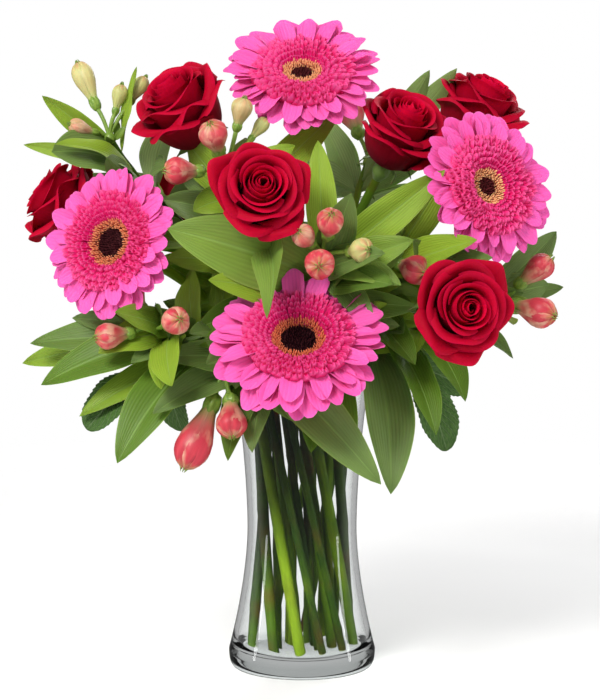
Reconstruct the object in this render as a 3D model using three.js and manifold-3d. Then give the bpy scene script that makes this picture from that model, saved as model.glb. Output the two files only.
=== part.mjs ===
// A mixed bouquet standing in a clear flared vase: gerberas, roses and alstroemeria.
// Millimetres, +Z up, the front of the bouquet faces -Y, and the origin is the centre of
// the vase's flat underside. A turn of 0 faces the front and a positive turn goes to the
// right; a lift is the angle above the horizon. Both are in degrees.
import * as THREE from 'three';
import { mergeVertices } from 'three/addons/utils/BufferGeometryUtils.js';
import Module from 'manifold-3d';

const wasm = await Module();
wasm.setup();

// ---- driving dimensions

const GAP = 0.3;

const VASE = {
  height: 180,
  footRadius: 41.5,
  flareRadius: 44,
  flareHeight: 10,
  waistRadius: 32.7,
  waistHeight: 84,
  rimRadius: 41,
  wall: 3,
  floor: 9,
  flarePower: 1.7,
  segments: 24,
};

// The stems cross the vase as one twisted bundle: a stem at radius r from the bundle's
// centre moves sideways by r while it climbs twistLength, so no two stems ever meet.
const BUNDLE = {
  neckHeight: 100,
  twistLength: 110,
  mouthHeight: 174,
  footHeight: VASE.floor + 1.8,
  inner: 6,
  middle: 15.5,
  outer: 24.5,
};

const STEM_SIDES = 6;
const STEM_STEPS = 13;
const SLEEVE_STEPS = 4;

const GERBERA = {
  stemRadius: 3.2,
  discRadius: 8.6,
  discDome: 5,
  receptacleRadius: 11,
  receptacleDepth: 18,
  rays: 21,
  rayThickness: 3.6,
  rayRise: 5,
  rayDroop: 3,
  notch: 0.86,
};

const ROSE = {
  stemRadius: 3,
  bloomRadius: 30,
  bloomHeight: 43,
  petalLobes: 5,
  lobeDepth: 0.05,
  hipRadius: 5.5,
  sepalRadius: 11.5,
  calyxDepth: 13,
  segments: 15,
};

const ALSTROEMERIA = {
  stemRadius: 2.3,
  hubRadius: 3.4,
  pedicelRadius: 1.3,
  sleeveBore: 3.5,
  sleeveRadius: 4.6,
  leafThickness: 1.4,
  petioleWidth: 2.2,
};

const GERBERAS = [
  { name: 'top', ring: 'inner', exit: 130, head: [0, -16, 355.5], turn: 0, lift: 56, radius: 45 },
  { name: 'left', ring: 'outer', exit: 196, head: [-109, -60, 259], turn: -32, lift: 18, radius: 43 },
  { name: 'right', ring: 'middle', exit: 340, head: [105.5, -55, 290.5], turn: 34, lift: 20, radius: 43 },
  { name: 'front', ring: 'outer', exit: 274, head: [-2, -94, 208.5], turn: 0, lift: 50, radius: 49.6 },
];

const ROSES = [
  { name: 'upper_left', ring: 'middle', exit: 192, head: [-68, -20, 333], turn: -50, lift: 50 },
  { name: 'centre', ring: 'middle', exit: 262, head: [-23, -85, 288], turn: 6, lift: 22 },
  { name: 'upper_middle', ring: 'inner', exit: 350, head: [57, -24, 319.5], turn: 35, lift: 50 },
  { name: 'upper_right', ring: 'outer', exit: 15, head: [105, 20, 331], turn: 60, lift: 60 },
  { name: 'right', ring: 'outer', exit: 306, head: [87, -90, 224], turn: 17, lift: 6 },
  { name: 'far_left', ring: 'outer', exit: 166, head: [-138, -2, 276], turn: -85, lift: 35 },
  { name: 'back', ring: 'outer', exit: 128, head: [-76, 52, 268], turn: -150, lift: 30 },
];

// A bud is [centre, length, radius]. A leaf is [share of the free stem where it grows, tip,
// width, roll about its own length in degrees, arch].
const ALSTROEMERIAS = [
  {
    name: 'upper_left', ring: 'middle', exit: 152, hub: [-112, 0, 314], turn: -70, lift: 60,
    buds: [
      [[-127, 10, 347], 26, 7], [[-108, 1, 339], 15, 5],
      [[-97, 6, 344], 16, 5], [[-128, -10, 322], 16, 5],
    ],
    leaves: [
      [0.9, [-165, 12, 312], 9, 0, 6], [0.94, [-154, 0, 341], 11, 0, -6],
      [0.9, [-146, -30, 319], 20, 0, 8], [0.8, [-84, -50, 300], 15, 0, 6],
      [0.7, [-120, 62, 290], 20, 0, 14],
    ],
  },
  {
    name: 'upper', ring: 'middle', exit: 226, hub: [-43, -44, 296], turn: -20, lift: 45,
    buds: [
      [[-67, -58, 299], 20, 8.5], [[-49, -62, 317], 20, 9],
      [[-35, -50, 331], 16, 6.5], [[-25, -40, 322], 14, 4.5],
    ],
    leaves: [
      [0.9, [-4, -42, 313], 16, 0, 10], [0.8, [-22, 22, 314], 18, 0, 10],
      [0.6, [-72, -10, 262], 20, 0, 12],
    ],
  },
  {
    name: 'centre', ring: 'middle', exit: 298, hub: [12, -60, 250], turn: 5, lift: 40,
    buds: [
      [[15, -90, 270], 22, 8], [[2, -88, 263], 20, 7],
      [[10, -98, 250], 24, 9], [[31, -88, 256], 16, 7.5],
    ],
    leaves: [
      [0.8, [-75, -88, 266], 28, 0, 14], [0.9, [-20, -128, 226], 18, 0, 24],
      [0.8, [62, -86, 262], 20, 0, 12], [0.9, [30, -84, 290], 17, 0, 6], [0.9, [80, -84, 303], 18, 0, 2],
    ],
  },
  {
    name: 'right_centre', ring: 'inner', exit: 262, hub: [50, -40, 245], turn: 30, lift: 35,
    buds: [[[62, -60, 244], 24, 9], [[58, -44, 274], 20, 8]],
    leaves: [
      [0.9, [104, -52, 256], 20, 0, 0], [0.72, [64, -64, 202], 20, 0, 10],
    ],
  },
  {
    name: 'right', ring: 'outer', exit: 338, hub: [112, -30, 222], turn: 50, lift: 15,
    buds: [[[134, -36, 240], 22, 8], [[132, -48, 219], 27, 9.5]],
    leaves: [
      [0.92, [149, -10, 263], 18, 0, 4], [0.85, [155, -6, 229], 14, 0, 6],
      [0.5, [89, -58, 172], 26, 0, 10], [0.7, [122, -46, 184], 18, 0, 10],
      [0.25, [50, -76, 122], 28, 0, 18], [0.5, [96, 62, 214], 24, 0, 16],
    ],
  },
  {
    name: 'left', ring: 'outer', exit: 220, hub: [-82, -55, 208], turn: -40, lift: 15,
    buds: [[[-106, -70, 207], 20, 8], [[-72, -86, 216], 20, 8.5], [[-94, -58, 228], 16, 6.5]],
    leaves: [
      [0.85, [-152, -46, 176], 22, 0, 10], [0.7, [-165, -8, 186], 22, 0, 12],
      [0.8, [-78, -100, 186], 20, 0, 8], [0.6, [-104, -80, 140], 28, 0, 16],
    ],
  },
  {
    name: 'lower', ring: 'outer', exit: 247, hub: [-40, -60, 188], turn: -35, lift: 0,
    buds: [[[-58, -74, 152], 38, 11], [[-40, -80, 162], 22, 9.5]],
    leaves: [[0.5, [-44, -66, 134], 18, 0, 18], [0.45, [44, -92, 124], 26, 0, 26]],
  },
  {
    name: 'back', ring: 'outer', exit: 56, hub: [40, 60, 298], turn: 150, lift: 50,
    buds: [[[54, 80, 322], 22, 8], [[32, 82, 326], 24, 9], [[62, 62, 314], 18, 7]],
    leaves: [
      [0.9, [76, 20, 356], 16, 0, 4], [0.85, [-20, 92, 296], 24, 0, 10],
      [0.75, [104, 78, 268], 26, 0, 12], [0.6, [-26, 80, 246], 22, 0, 10],
      [0.5, [36, 128, 216], 28, 0, 22], [0.35, [-34, 112, 176], 28, 0, 26],
    ],
  },
];

// A spray is a stalk from root to end with leaflets [share of the stalk, tip, width].
const ROSE_LEAVES = [
  {
    name: 'left', root: [-52, -34, 196], end: [-92, -40, 182],
    leaflets: [[1, [-124, -50, 150], 30], [0.72, [-70, -30, 146], 24], [0.72, [-104, -16, 164], 24]],
  },
  {
    name: 'right', root: [40, -22, 196], end: [68, -30, 180],
    leaflets: [[1, [84, -40, 136], 30], [0.6, [98, -6, 168], 24]],
  },
];

// ---- materials

const COLOURS = {
  glass: { color: 0xdfe9ea, roughness: 0.04, metalness: 0, transparent: true, opacity: 0.35 },
  gerberaStem: { color: 0x6f9a2c, roughness: 0.5, metalness: 0 },
  gerberaPetal: { color: 0xf2489f, roughness: 0.6, metalness: 0 },
  gerberaDisc: { color: 0x3a0d16, roughness: 0.8, metalness: 0 },
  roseStem: { color: 0x4b6b26, roughness: 0.55, metalness: 0 },
  rosePetal: { color: 0xb40a22, roughness: 0.7, metalness: 0 },
  alstroemeriaStem: { color: 0x6d8f2e, roughness: 0.5, metalness: 0 },
  bud: { color: 0xd8505a, roughness: 0.55, metalness: 0 },
  leaf: { color: 0x5e8a22, roughness: 0.5, metalness: 0 },
  roseLeaf: { color: 0x4a6a36, roughness: 0.6, metalness: 0 },
};

const materials = Object.fromEntries(
  Object.entries(COLOURS).map(([name, look]) => [name, new THREE.MeshStandardMaterial(look)]),
);

// ---- geometry helpers

const UP = new THREE.Vector3(0, 0, 1);
const vec = ([x, y, z]) => new THREE.Vector3(x, y, z);
const radians = THREE.MathUtils.degToRad;

function facing(turn, lift) {
  const level = Math.cos(radians(lift));
  return new THREE.Vector3(
    Math.sin(radians(turn)) * level,
    -Math.cos(radians(turn)) * level,
    Math.sin(radians(lift)),
  );
}

// A flower is modelled round +Z and then turned to face its own way.
function turned(geometry, centre, axis) {
  const pose = new THREE.Matrix4().makeRotationFromQuaternion(
    new THREE.Quaternion().setFromUnitVectors(UP, axis),
  );
  return geometry.applyMatrix4(pose.setPosition(centre));
}

function lathe(profile, segments) {
  const points = profile.map(([r, z]) => new THREE.Vector2(r, z));
  return new THREE.LatheGeometry(points, segments).rotateX(Math.PI / 2);
}

// Joins rings of equal point count into a skin; each ring runs clockwise seen from the
// far end of the sweep. A closed sweep meets its own start, an open one gets caps.
function skin(rings, closed) {
  const count = rings[0].length;
  const positions = rings.flat().flatMap((point) => [point.x, point.y, point.z]);
  const index = [];
  const spans = closed ? rings.length : rings.length - 1;
  for (let i = 0; i < spans; i += 1) {
    const near = i * count;
    const far = ((i + 1) % rings.length) * count;
    for (let j = 0; j < count; j += 1) {
      const next = (j + 1) % count;
      index.push(near + j, far + next, near + next);
      index.push(near + j, far + j, far + next);
    }
  }
  if (!closed) {
    const last = (rings.length - 1) * count;
    for (let j = 1; j < count - 1; j += 1) {
      index.push(0, j, j + 1);
      index.push(last, last + j + 1, last + j);
    }
  }
  const geometry = new THREE.BufferGeometry();
  geometry.setAttribute('position', new THREE.Float32BufferAttribute(positions, 3));
  geometry.setIndex(index);
  return geometry;
}

function tube(curve, radius, sides, steps) {
  const section = new THREE.Shape();
  for (let i = 0; i < sides; i += 1) {
    const angle = (i / sides) * 2 * Math.PI;
    const place = [radius * Math.cos(angle), radius * Math.sin(angle)];
    if (i === 0) section.moveTo(...place);
    else section.lineTo(...place);
  }
  return new THREE.ExtrudeGeometry(section, { extrudePath: curve, steps });
}

function solid(geometry) {
  const bare = geometry.clone();
  bare.deleteAttribute('normal');
  bare.deleteAttribute('uv');
  const merged = mergeVertices(bare, 1e-4);
  return new wasm.Manifold(new wasm.Mesh({
    numProp: 3,
    vertProperties: new Float32Array(merged.attributes.position.array),
    triVerts: new Uint32Array(merged.index.array),
  }));
}

function surface(manifold) {
  const { vertProperties, triVerts } = manifold.getMesh();
  const geometry = new THREE.BufferGeometry();
  geometry.setAttribute('position', new THREE.BufferAttribute(vertProperties, 3));
  geometry.setIndex(new THREE.BufferAttribute(triVerts, 1));
  return geometry;
}

function joined(geometries) {
  return surface(geometries.map(solid).reduce((whole, piece) => whole.add(piece)));
}

const bouquet = new THREE.Group();

function addPiece(name, geometry, material) {
  const flat = geometry.index ? geometry.toNonIndexed() : geometry;
  flat.computeVertexNormals();
  const mesh = new THREE.Mesh(flat, material);
  mesh.name = name;
  bouquet.add(mesh);
}

// ---- vase

function wallRadius(z) {
  const low = z < VASE.waistHeight;
  const endRadius = low ? VASE.flareRadius : VASE.rimRadius;
  const endHeight = low ? VASE.flareHeight : VASE.height;
  const share = (z - VASE.waistHeight) / (endHeight - VASE.waistHeight);
  return VASE.waistRadius + (endRadius - VASE.waistRadius) * share ** VASE.flarePower;
}

function vaseGeometry() {
  const heights = [VASE.flareHeight, 26, 44, 64, VASE.waistHeight, 112, 136, 158, VASE.height - 1];
  const outside = heights.map((z) => [wallRadius(z), z]);
  const inside = heights.slice(1).reverse().map((z) => [wallRadius(z) - VASE.wall, z]);
  const innerFoot = wallRadius(16) - VASE.wall - 1;
  return lathe([
    [0, 0], [VASE.footRadius, 0], [VASE.footRadius + 1.8, 3], ...outside,
    [VASE.rimRadius - VASE.wall / 2, VASE.height], ...inside,
    [innerFoot, VASE.floor + 4], [innerFoot - 4, VASE.floor], [0, VASE.floor],
  ], VASE.segments);
}

addPiece('vase', vaseGeometry(), materials.glass);

// ---- stems

class StemCurve extends THREE.Curve {
  constructor({ ring, exit, end, axis }) {
    super();
    this.radius = BUNDLE[ring];
    this.neckAngle = radians(exit) + Math.atan(this.twist(BUNDLE.mouthHeight));
    this.foot = this.inBundle(BUNDLE.footHeight);
    const mouth = this.inBundle(BUNDLE.mouthHeight);
    const climb = mouth.clone().sub(this.foot).normalize();
    const reach = mouth.distanceTo(end);
    this.free = new THREE.CubicBezierCurve3(
      mouth,
      mouth.clone().addScaledVector(climb, reach * 0.38),
      end.clone().addScaledVector(axis, -reach * 0.36),
      end,
    );
    const straight = this.foot.distanceTo(mouth);
    this.straightShare = straight / (straight + this.free.getLength());
  }

  twist(z) {
    return (z - BUNDLE.neckHeight) / BUNDLE.twistLength;
  }

  inBundle(z) {
    const x = this.radius * Math.cos(this.neckAngle);
    const y = this.radius * Math.sin(this.neckAngle);
    const t = this.twist(z);
    return new THREE.Vector3(x + t * y, y - t * x, z);
  }

  getPoint(t, target = new THREE.Vector3()) {
    if (t < this.straightShare) {
      return target.lerpVectors(this.foot, this.free.v0, t / this.straightShare);
    }
    return this.free.getPoint((t - this.straightShare) / (1 - this.straightShare), target);
  }
}

function addStem(name, curve, radius, material) {
  addPiece(name, tube(curve, radius, STEM_SIDES, STEM_STEPS), material);
}

// ---- gerberas

function rayRing(radius) {
  const steps = GERBERA.rays * 2;
  const inner = GERBERA.discRadius + GAP + 0.1;
  const thick = GERBERA.rayThickness;
  const rings = [];
  for (let i = 0; i < steps; i += 1) {
    const angle = (i / steps) * 2 * Math.PI;
    const reach = i % 2 ? radius : radius * GERBERA.notch;
    const at = (r, z) => new THREE.Vector3(r * Math.cos(angle), r * Math.sin(angle), z);
    rings.push([
      at(inner, 0), at(inner, -thick), at(reach * 0.6, GERBERA.rayRise - thick),
      at(reach, -GERBERA.rayDroop), at(reach * 0.6, GERBERA.rayRise),
    ]);
  }
  return skin(rings, true);
}

function discGeometry() {
  const below = -GERBERA.rayThickness - GAP;
  return lathe([
    [0, -GERBERA.receptacleDepth], [GERBERA.stemRadius + 1, -GERBERA.receptacleDepth],
    [GERBERA.receptacleRadius - 2, below - 6], [GERBERA.receptacleRadius, below - 1.5],
    [GERBERA.discRadius, below], [GERBERA.discRadius, 1.5],
    [GERBERA.discRadius * 0.55, GERBERA.discDome - 1], [0, GERBERA.discDome],
  ], 12);
}

for (const { name, ring, exit, head, turn, lift, radius } of GERBERAS) {
  const axis = facing(turn, lift);
  const centre = vec(head);
  const end = centre.clone().addScaledVector(axis, -GERBERA.receptacleDepth - GAP);
  addStem(`gerbera_${name}_stem`, new StemCurve({ ring, exit, end, axis }), GERBERA.stemRadius,
    materials.gerberaStem);
  addPiece(`gerbera_${name}_petals`, turned(rayRing(radius), centre, axis), materials.gerberaPetal);
  addPiece(`gerbera_${name}_disc`, turned(discGeometry(), centre, axis), materials.gerberaDisc);
}

// ---- roses

function bloomGeometry() {
  const r = ROSE.bloomRadius;
  const half = ROSE.bloomHeight / 2;
  const geometry = lathe([
    [0, -half], [r * 0.34, -half + 1], [r * 0.75, -half * 0.6], [r * 0.97, -half * 0.05],
    [r, half * 0.5], [r * 0.8, half * 0.85], [r * 0.4, half], [0, half * 0.95],
  ], ROSE.segments);
  const place = geometry.attributes.position;
  for (let i = 0; i < place.count; i += 1) {
    const x = place.getX(i);
    const y = place.getY(i);
    const lobe = 1 - ROSE.lobeDepth * (1 - Math.cos(ROSE.petalLobes * Math.atan2(y, x)));
    place.setXY(i, x * lobe, y * lobe);
  }
  return geometry;
}

function calyxGeometry() {
  const top = -ROSE.bloomHeight / 2 - GAP;
  const bottom = top - ROSE.calyxDepth;
  return lathe([
    [0, bottom], [ROSE.stemRadius + 0.8, bottom], [ROSE.hipRadius, bottom + 5],
    [ROSE.hipRadius - 1, bottom + 8], [ROSE.sepalRadius, top - 1.4], [ROSE.sepalRadius - 2, top], [0, top],
  ], 10);
}

for (const { name, ring, exit, head, turn, lift } of ROSES) {
  const axis = facing(turn, lift);
  const centre = vec(head);
  const depth = ROSE.bloomHeight / 2 + ROSE.calyxDepth + 2 * GAP;
  const end = centre.clone().addScaledVector(axis, -depth);
  addStem(`rose_${name}_stem`, new StemCurve({ ring, exit, end, axis }), ROSE.stemRadius,
    materials.roseStem);
  addPiece(`rose_${name}_calyx`, turned(calyxGeometry(), centre, axis), materials.roseStem);
  addPiece(`rose_${name}_bloom`, turned(bloomGeometry(), centre, axis), materials.rosePetal);
}

// ---- leaves

// A blade with a rhombic section along an arched midrib, widest just below the middle.
function blade(root, tip, width, roll, arch) {
  const run = tip.clone().sub(root).normalize();
  const middle = root.clone().lerp(tip, 0.5);
  const outward = new THREE.Vector3(middle.x, middle.y, 0).normalize();
  const face = UP.clone().addScaledVector(outward, 0.8);
  face.addScaledVector(run, -face.dot(run)).normalize();
  const rib = new THREE.QuadraticBezierCurve3(root, middle.clone().addScaledVector(face, arch), tip);
  face.applyAxisAngle(run, radians(roll));
  const half = ALSTROEMERIA.leafThickness / 2;
  const outline = [[0, ALSTROEMERIA.petioleWidth / width], [0.2, 0.6], [0.45, 1], [0.75, 0.7], [1, 0.06]];
  const rings = outline.map(([share, spread]) => {
    const place = rib.getPoint(share);
    const side = rib.getTangent(share).cross(face).normalize();
    const top = side.clone().cross(rib.getTangent(share)).normalize();
    const reach = (width / 2) * spread;
    return [
      place.clone().addScaledVector(side, reach), place.clone().addScaledVector(top, half),
      place.clone().addScaledVector(side, -reach), place.clone().addScaledVector(top, -half),
    ];
  });
  return skin(rings, false);
}

function sleeve(curve, from, to) {
  const { sleeveRadius, sleeveBore } = ALSTROEMERIA;
  const stretch = (low, high) => new THREE.CatmullRomCurve3(
    [0, 0.25, 0.5, 0.75, 1].map((share) => curve.free.getPointAt(low + (high - low) * share)),
  );
  const outside = solid(tube(stretch(from, to), sleeveRadius, STEM_SIDES, SLEEVE_STEPS));
  const bore = solid(tube(stretch(from - 0.02, to + 0.02), sleeveBore, STEM_SIDES, SLEEVE_STEPS));
  return surface(outside.subtract(bore));
}

function leafWhorl(curve, leaves) {
  const shares = leaves.map(([share]) => share);
  const from = Math.min(...shares) - 0.05;
  const to = Math.min(Math.max(...shares) + 0.04, 0.96);
  const rootRadius = ALSTROEMERIA.sleeveBore + GAP;
  const blades = leaves.map(([share, tip, width, roll, arch]) => {
    const onStem = curve.free.getPointAt(share);
    const along = curve.free.getTangentAt(share);
    const away = vec(tip).sub(onStem);
    away.addScaledVector(along, -away.dot(along)).normalize();
    return blade(onStem.addScaledVector(away, rootRadius), vec(tip), width, roll, arch);
  });
  return joined([sleeve(curve, from, to), ...blades]);
}

// ---- alstroemerias

function budGeometry(length, radius) {
  const half = length / 2;
  return lathe([
    [0, -half], [radius * 0.45, -half + 1.5], [radius, -half * 0.1], [radius * 0.9, half * 0.4],
    [radius * 0.4, half - 1], [0, half],
  ], 6);
}

function umbel(hub, axis, buds) {
  const { hubRadius, pedicelRadius } = ALSTROEMERIA;
  const cushion = lathe([[0, 0], [hubRadius, 1], [hubRadius, 4], [0, 6]], 6);
  const pieces = [turned(cushion, hub.clone().addScaledVector(axis, GAP), axis)];
  const knot = hub.clone().addScaledVector(axis, 3);
  for (const [place, length, radius] of buds) {
    const centre = vec(place);
    const way = centre.clone().sub(knot).normalize();
    const budFoot = centre.clone().addScaledVector(way, -length / 2 + 1.5);
    pieces.push(tube(new THREE.LineCurve3(knot, budFoot), pedicelRadius, 5, 1));
    pieces.push(turned(budGeometry(length, radius), centre, way));
  }
  return joined(pieces);
}

for (const { name, ring, exit, hub, turn, lift, buds, leaves } of ALSTROEMERIAS) {
  const axis = facing(turn, lift);
  const end = vec(hub);
  const curve = new StemCurve({ ring, exit, end, axis });
  addStem(`alstroemeria_${name}_stem`, curve, ALSTROEMERIA.stemRadius, materials.alstroemeriaStem);
  addPiece(`alstroemeria_${name}_leaves`, leafWhorl(curve, leaves), materials.leaf);
  addPiece(`alstroemeria_${name}_umbel`, umbel(end, axis, buds), materials.bud);
}

// ---- rose leaves

for (const { name, root, end, leaflets } of ROSE_LEAVES) {
  const stalk = new THREE.LineCurve3(vec(root), vec(end));
  const pieces = [tube(stalk, 1.2, 5, 1)];
  for (const [share, tip, width] of leaflets) {
    pieces.push(blade(stalk.getPoint(share * 0.97), vec(tip), width, 0, 4));
  }
  addPiece(`rose_leaf_${name}`, joined(pieces), materials.roseLeaf);
}

export default bouquet;
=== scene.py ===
import math
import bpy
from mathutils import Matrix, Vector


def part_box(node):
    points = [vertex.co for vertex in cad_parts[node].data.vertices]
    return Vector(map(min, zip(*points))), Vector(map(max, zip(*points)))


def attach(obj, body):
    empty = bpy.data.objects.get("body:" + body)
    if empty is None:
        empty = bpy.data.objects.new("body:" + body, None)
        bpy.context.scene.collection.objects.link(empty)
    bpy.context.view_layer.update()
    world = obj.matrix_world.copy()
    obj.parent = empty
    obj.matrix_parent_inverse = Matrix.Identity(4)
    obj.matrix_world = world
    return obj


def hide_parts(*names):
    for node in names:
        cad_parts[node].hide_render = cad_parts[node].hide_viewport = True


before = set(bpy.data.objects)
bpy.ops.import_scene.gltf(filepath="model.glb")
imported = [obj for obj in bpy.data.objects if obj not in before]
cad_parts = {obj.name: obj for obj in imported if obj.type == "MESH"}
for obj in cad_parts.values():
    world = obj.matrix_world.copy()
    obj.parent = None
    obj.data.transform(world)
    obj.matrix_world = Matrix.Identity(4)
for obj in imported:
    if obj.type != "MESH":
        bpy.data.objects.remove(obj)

from types import SimpleNamespace

import bpy
import numpy as np
from mathutils import Matrix, Vector

bl_info = {
    "name": "Mixed Bouquet",
    "version": (1, 0, 0),
    "blender": (4, 5, 0),
    "location": "3D View > Sidebar > Bouquet",
    "description": "Gerberas, roses and alstroemerias in a clear flared vase",
    "category": "Add Mesh",
}

# Shapes are worked out in millimetres and become metres when their mesh is made. The
# bouquet's front faces -Y. A turn of 0 looks to the front and a positive turn goes to
# the right; a lift is the angle above the horizon. Both are in degrees.
MM = 0.001
UP = np.array([0.0, 0.0, 1.0])
GOLDEN_TURN = math.radians(137.508)
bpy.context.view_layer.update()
VASE_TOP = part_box("vase")[1].z

# ---- where everything grows

# In the vase the stems are a twisted bundle of three rings: at the neck a stem is its ring's
# radius from the axis, and over the twist length it moves sideways by as much.
NECK_HEIGHT = 100
TWIST_LENGTH = 110
MOUTH_HEIGHT = 174
FOOT_HEIGHT = 10.8
BUNDLE_RADIUS = {"inner": 6, "middle": 15.5, "outer": 24.5}

# stem radii, and how deep a head reaches behind its centre
GERBERA_STEM = 3.2
GERBERA_DEPTH = 18
ROSE_STEM = 3.0
ROSE_HEIGHT = 43
CALYX_DEPTH = 13
LILY_STEM = 2.3

# broad petals in a row of a gerbera, how far out they start and how long they are, the
# radius of the widest eye and the size of head that the rows of narrow florets are meant for
BROAD_RAYS = 18
BROAD_ROOT = 11
BROAD_LENGTH = 34
WIDE_EYE = 10.6
FLORET_HEAD = 46

# name, ring, exit turn, head, turn, lift, radius
GERBERAS = (
    ("top", "inner", 130, (0, -16, 355.5), 0, 56, 45),
    ("left", "outer", 196, (-109, -60, 259), -32, 18, 43),
    ("right", "middle", 340, (105.5, -55, 290.5), 34, 20, 43),
    ("front", "outer", 274, (-2, -94, 208.5), 0, 50, 50),
)

# radius of the dark eye as a share of the widest one, paleness of eye and crown, how much
# the broad petals lift in degrees and how far the lowest ones hang in radians
GERBERA_LOOKS = {
    "top": (0.66, 0.6, 11, 0.5), "left": (0.86, 0.3, 4, 0.16), "right": (0.6, 0.9, 4, 0.14),
    "front": (1.0, 0.0, 1, 0.3),
}

# scale of the blooms: the usual one, and that of the blooms that have opened wider
USUAL_BLOOM = 1.02
ROSE_SIZES = {
    "upper_left": 1.12, "upper_middle": 1.07, "upper_right": 1.09, "far_left": 1.08, "right": 1.06,
}

# name, ring, exit turn, head, turn, lift, spin of the petals
ROSES = (
    ("upper_left", "middle", 192, (-68, -20, 333), -50, 50, 20),
    ("centre", "middle", 262, (-23, -85, 288), 6, 22, 75),
    ("upper_middle", "inner", 350, (57, -24, 319.5), 35, 50, 140),
    ("upper_right", "outer", 15, (105, 20, 331), 60, 60, 10),
    ("right", "outer", 306, (87, -90, 224), 17, 6, 200),
    ("far_left", "outer", 166, (-138, -2, 276), -85, 35, 250),
    ("back", "outer", 128, (-76, 52, 268), -150, 30, 310),
)

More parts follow.
